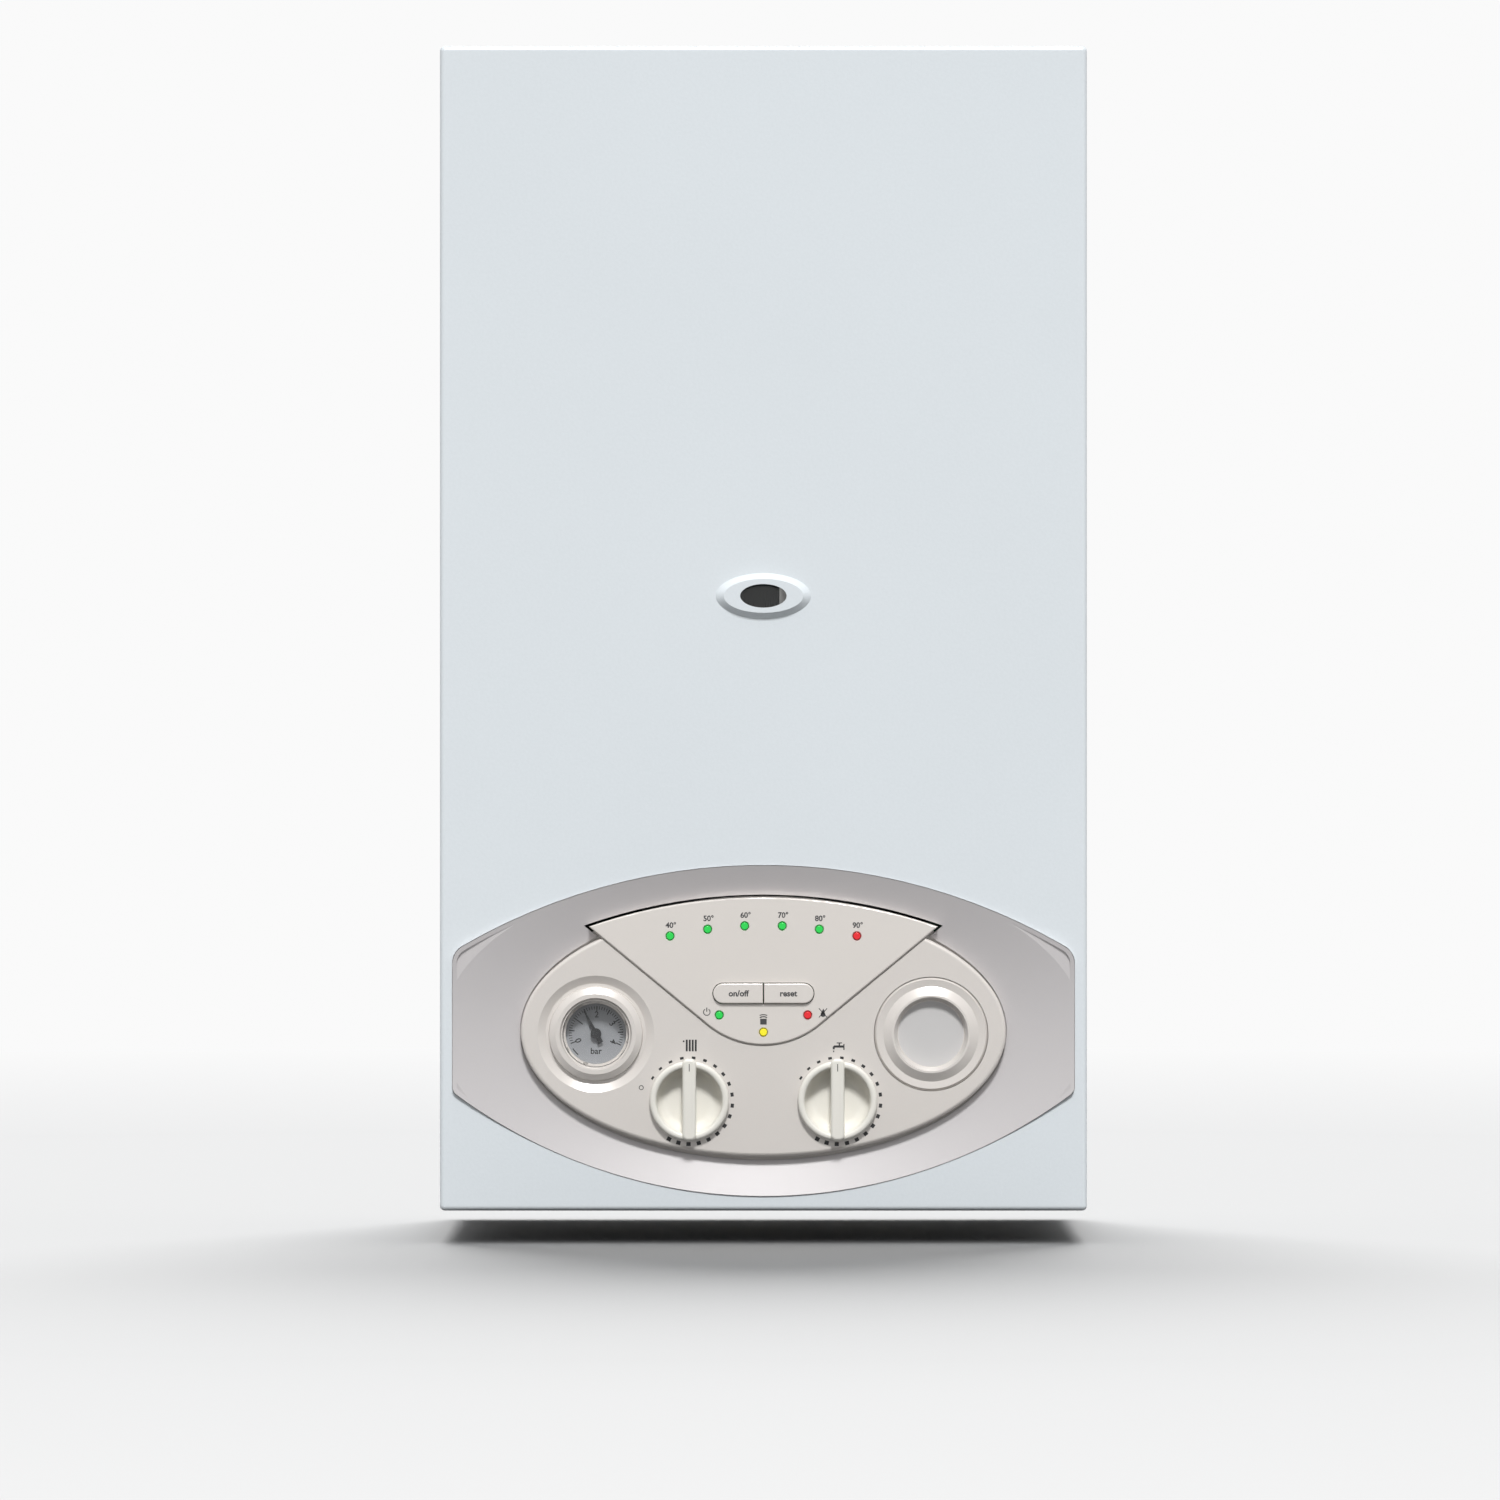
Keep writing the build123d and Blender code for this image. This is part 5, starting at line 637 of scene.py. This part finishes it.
GRIP_LINE_RISE, GRIP_LINE = 20.7, (4.6, 0.5)
STUB_PITCH, STUB_BACK = 65, 112
WIDE_STUB, NARROW_STUB = 13.2, 10.5
THREAD_FOOT, THREAD_HEIGHT = 13.2, 21.8
THREAD_PITCH, THREAD_RIDGE, THREAD_SUNK = 1.814, 0.42, 0.05


def scale_height(x):
    """Height of the lamp row at x: the row follows an arc."""
    return SCALE_TOP - SCALE_ARC + math.sqrt(SCALE_ARC**2 - x**2)


def shield_marks():
    """Temperatures over the lamps and a small sign beside each status lamp."""
    parts = []
    for tens, x in enumerate(SCALE_LAMPS, start=4):
        spot = (x + SCALE_TEXT_SHIFT, scale_height(x) + SCALE_TEXT_RISE)
        parts.append(lettering(f"{tens}0\u00b0", spot, SCALE_TEXT, SHIELD_FACE, SCALE_TEXT_BOLD))
    flat = []
    power = (-35.0, 122.9)
    flat += ring(power, 2.3, 1.75, 32, 32, 296)
    flat.append(bar((power[0], power[1] + 1.5), 2.6, 0.6, 0))
    flue = (0.0, 117.6)
    flat.append(bar((flue[0], flue[1] - 0.6), 3.6, 4.0, 0))
    flat += ring((flue[0], flue[1] - 1.6), 4.4, 3.7, 10, -34, 68)
    flat += ring((flue[0], flue[1] - 2.0), 6.0, 5.4, 10, -24, 48)
    flame = (36.8, 122.4)
    flat.append([
        (flame[0] + x, flame[1] + z)
        for x, z in (
            (0, -2.6), (1.2, -2.1), (1.5, -1.0), (1.0, 0.2), (0.9, 1.2), (0.2, 2.7),
            (-0.5, 1.4), (-0.9, 0.6), (-1.5, -0.6), (-1.2, -2.1),
        )
    ])
    flat.append(bar(flame, 7.6, 0.5, 42))
    flat.append(bar(flame, 7.6, 0.5, -42))
    parts.append(polygon_mesh(flat, SHIELD_FACE))
    piece("shield_marks", join_meshes(parts), INK_GREY, "control_box")


def key_marks():
    """Words on the two keys."""
    for word, x, key in (("on/off", -KEY_WORD_X, "power_key"), ("reset", KEY_WORD_X, "reset_key")):
        mark = lettering(word, (x, KEY_WORD_Z), KEY_WORD, KEY_FACE, KEY_WORD_BOLD)
        piece(f"{key}_mark", mark, INK_GREY, key)


def knob_signs():
    """Radiator and tap over the knobs, and the small ring that marks the heating off place."""
    flat = []
    radiator = (-44.6, 102.2)
    for column in range(RIB_COUNT):
        across = radiator[0] + RIB_FIRST + RIB_PITCH * column
        flat.append(bar((across, radiator[1]), RIB_HEIGHT, RIB_WIDTH, 0))
    flat.append(bar((radiator[0] - 4.7, radiator[1] + 2.6), 1.0, 1.0, 0))
    tap = (46.4, 100.8)
    flat.append([
        (tap[0] + x, tap[1] + z)
        for x, z in (
            (-3.6, -0.9), (-2.4, -0.9), (-2.2, 0.1), (3.0, 0.1), (3.0, -1.3),
            (3.7, -1.3), (3.7, 2.4), (3.0, 2.4), (3.0, 1.5), (-2.6, 1.5), (-3.6, 0.6),
        )
    ])
    flat.append(bar((tap[0] + 0.5, tap[1] + 2.1), 1.4, 0.8, 0))
    flat.append(bar((tap[0] + 0.5, tap[1] + 3.0), 0.6, 3.2, 0))
    flat.append(bar((tap[0] - 3.0, tap[1] - 2.2), 1.0, 0.7, 0))
    flat += ring(at((-KNOB_X, KNOB_Z), OFF_RING_RADIUS, OFF_RING_ANGLE), 1.5, 1.05, 24)
    parts = [polygon_mesh(flat, PANEL_FACE)]
    for x in (-KNOB_X, KNOB_X):
        parts.append(marks_on_arc(
            (x, KNOB_Z), PANEL_FACE, TICK_COUNT, TICK_RADIUS, TICK_START, TICK_SWEEP, TICK_EASE,
            TICK_WIDTHS, TICK_LENGTHS, INK,
        ))
    piece("panel_signs", join_meshes(parts), INK, "control_box")


def dial_marks():
    """Grey dial plate of the gauge, with its pressure scale from 0 to 4 bar."""
    plate = washer(GAUGE_CENTRE, DIAL_PLATE, SPINDLE_HOLE, DIAL_FACE)
    piece("dial_plate", plate, DIAL, "control_box")
    parts = []
    for count, radius, width, length in (FINE_MARKS, HALF_BAR_MARKS):
        parts.append(marks_on_arc(
            GAUGE_CENTRE, DIAL_PRINT, count, radius, DIAL_ZERO, DIAL_BARS * DIAL_PER_BAR, 0.0,
            (width, width), (length, length), INK,
        ))
    for value in range(DIAL_BARS + 1):
        angle = DIAL_ZERO + DIAL_PER_BAR * value
        spot = at(GAUGE_CENTRE, DIAL_FIGURE_RADIUS, angle)
        parts.append(lettering(str(value), spot, DIAL_TEXT, DIAL_PRINT, DIAL_TEXT_BOLD, angle))
    below = (GAUGE_CENTRE[0], GAUGE_CENTRE[1] - DIAL_WORD_DROP)
    parts.append(lettering("bar", below, DIAL_TEXT, DIAL_PRINT, DIAL_TEXT_BOLD))
    parts.append(polygon_mesh(ring(GAUGE_CENTRE, 17.5, 16.8, 8, -140, 17), DIAL_PRINT))
    piece("dial_marks", join_meshes(parts), INK, "control_box")


def cap_plate():
    """Flat grey middle of the blank cap."""
    plate = washer(CAP_CENTRE, CAP_PLATE, 0.0, CAP_FACE)
    piece("cap_plate", plate, CAP, "control_box")


def grip_lines():
    """The pointer line near the top of each knob's grip."""
    for use, x in (("heating", -KNOB_X), ("hot_water", KNOB_X)):
        line = polygon_mesh([bar((x, KNOB_Z + GRIP_LINE_RISE), *GRIP_LINE, 0)], GRIP_FACE)
        piece(f"{use}_knob_line", line, INK_GREY, f"{use}_dial")


def stub_threads():
    """Threads on the five pipe tails."""
    parts = []
    for place in range(-2, 3):
        radius = WIDE_STUB if abs(place) == 2 else NARROW_STUB
        parts.append(grow(SCREW_THREAD, {
            "Centre": (place * STUB_PITCH * MM, -STUB_BACK * MM, THREAD_FOOT * MM),
            "Radius": (radius - THREAD_SUNK) * MM,
            "Height": THREAD_HEIGHT * MM,
            "Turns": THREAD_HEIGHT / THREAD_PITCH,
            "Ridge": THREAD_RIDGE * MM,
            "Finish": BRASS,
        }))
    piece("stub_threads", join_meshes(parts), BRASS, "chassis", 30)


shield_marks()
key_marks()
knob_signs()
dial_marks()
cap_plate()
grip_lines()
stub_threads()

# ------------------------------------------------------------------ stage, light and camera


def seen_rays(tree):
    """1 for the rays that show the surroundings: camera, glossy and transmission."""
    path = tree.add("ShaderNodeLightPath").outputs
    mirrored = tree.math("MAXIMUM", path["Is Glossy Ray"], path["Is Transmission Ray"])
    return tree.math("MAXIMUM", path["Is Camera Ray"], mirrored)


def pale_floor():
    """Pale floor with the object's shadow, fading to white and clear from below; returns the floor."""
    mesh = bmesh.new()
    bmesh.ops.create_grid(mesh, x_segments=1, y_segments=1, size=FLOOR_HALF)
    data = bpy.data.meshes.new("floor")
    mesh.to_mesh(data)
    mesh.free()
    data.transform(Matrix.Translation((0, 0, -FLOOR_DROP)))
    floor = bpy.data.objects.new("floor", data)
    bpy.context.scene.collection.objects.link(floor)
    material = bpy.data.materials.new("floor_white")
    material.use_nodes = True
    tree = Tree(material.node_tree)
    surface = material.node_tree.nodes["Principled BSDF"]
    out = material.node_tree.nodes["Material Output"]
    seen = seen_rays(tree)
    shade = tree.ramp(seen, 0.0, 1.0, FLOOR_BOUNCE, FLOOR_SEEN)
    colour = tree.add("ShaderNodeCombineColor", {0: shade, 1: shade, 2: shade})
    material.node_tree.links.new(colour.outputs[0], surface.inputs["Base Color"])
    surface.inputs["Roughness"].default_value = 0.9
    surface.inputs["Specular IOR Level"].default_value = 0.0
    place = tree.add("ShaderNodeTexCoord").outputs["Object"]
    away = tree.add("ShaderNodeVectorMath", {0: place}, operation="LENGTH").outputs["Value"]
    far = tree.math("MULTIPLY", tree.ramp(away, *FLOOR_FADE), seen)
    white = tree.add("ShaderNodeEmission", {"Color": (SURROUND, SURROUND, SURROUND, 1), "Strength": 1.0})
    blend = tree.add("ShaderNodeMixShader", {0: far, 1: surface.outputs[0], 2: white.outputs[0]})
    beneath = tree.add("ShaderNodeNewGeometry").outputs["Backfacing"]
    unseen = tree.add("ShaderNodeBsdfTransparent")
    whole = tree.add("ShaderNodeMixShader", {0: beneath, 1: blend.outputs[0], 2: unseen.outputs[0]})
    material.node_tree.links.new(whole.outputs[0], out.inputs["Surface"])
    data.materials.append(material)
    return floor


def studio_world():
    """Soft sky that lights the object, and the white surroundings that are seen instead of it."""
    world = bpy.data.worlds.new("studio")
    bpy.context.scene.world = world
    world.use_nodes = True
    tree = Tree(world.node_tree)
    out = world.node_tree.nodes["World Output"]
    soft = world.node_tree.nodes["Background"]
    direction = tree.add("ShaderNodeTexCoord").outputs["Generated"]
    up = tree.add("ShaderNodeSeparateXYZ", {0: direction}).outputs["Z"]
    world.node_tree.links.new(tree.ramp(up, 0.0, 1.0, SKY_LOW, SKY_HIGH), soft.inputs["Strength"])
    soft.inputs["Color"].default_value = (0.98, 0.99, 1.0, 1)
    white = tree.add("ShaderNodeBackground", {"Color": (SURROUND, SURROUND, SURROUND, 1)})
    world.node_tree.links.new(tree.ramp(up, *TOP_BOX_EDGE, 1.0, TOP_BOX), white.inputs["Strength"])
    choice = tree.add("ShaderNodeMixShader", {0: seen_rays(tree), 1: soft.outputs[0], 2: white.outputs[0]})
    world.node_tree.links.new(choice.outputs[0], out.inputs["Surface"])


def lamp(name, floor, state, height, turn, level, spread):
    """A broad sun that lights the floor alone (INCLUDE) or all but the floor (EXCLUDE).

    Height and turn are in degrees, turn 0 from the front; level is at a facing surface.
    """
    data = bpy.data.lights.new(name, "SUN")
    data.energy = level * math.pi
    data.angle = math.radians(spread)
    item = bpy.data.objects.new(name, data)
    bpy.context.scene.collection.objects.link(item)
    up, around = math.radians(height), math.radians(turn)
    towards = Vector((-math.cos(up) * math.sin(around), -math.cos(up) * math.cos(around), math.sin(up)))
    item.location = towards * LAMP_DISTANCE
    item.rotation_euler = towards.to_track_quat("Z", "Y").to_euler()
    lit = bpy.data.collections.new(name)
    lit.objects.link(floor)
    lit.collection_objects[0].light_linking.link_state = state
    item.light_linking.receiver_collection = lit


SURROUND = 0.955
FLOOR_DROP = 0.02           # the boiler hangs this far above the floor
FLOOR_HALF = 14.0
FLOOR_FADE = (1.4, 3.4)     # the floor turns into the white surroundings between these distances
FLOOR_SEEN = 0.56           # shade of the floor to the eye and in reflections
FLOOR_BOUNCE = 0.21         # shade of the floor to the light that it throws back
SKY_LOW, SKY_HIGH = 0.32, 0.60
TOP_BOX, TOP_BOX_EDGE = 1.1, (0.35, 0.85)
LAMP_DISTANCE = 3
KEY_LIGHT = {"height": 50, "turn": -4, "level": 0.98, "spread": 10}
FLOOR_LIGHT = {"height": 50, "turn": 180, "level": 1.36, "spread": 44}

floor_plane = pale_floor()
studio_world()
lamp("key_above_front", floor_plane, "EXCLUDE", **KEY_LIGHT)
lamp("floor_above_back", floor_plane, "INCLUDE", **FLOOR_LIGHT)

CAMERA_X, CAMERA_Z = -0.0083, 0.2848
CAMERA_DISTANCE = 6.0
FRAME_WIDTH = 0.927
SENSOR = 36.0
COVER_DEPTH = 0.300

view = bpy.data.cameras.new("photo_view")
view.sensor_width = SENSOR
view.lens = SENSOR * (CAMERA_DISTANCE - COVER_DEPTH) / FRAME_WIDTH
camera = bpy.data.objects.new("photo_view", view)
bpy.context.scene.collection.objects.link(camera)
camera.location = (CAMERA_X, -CAMERA_DISTANCE, CAMERA_Z)
camera.rotation_euler = (math.radians(90), 0, 0)
bpy.context.scene.camera = camera
bpy.context.scene.view_settings.view_transform = "Standard"
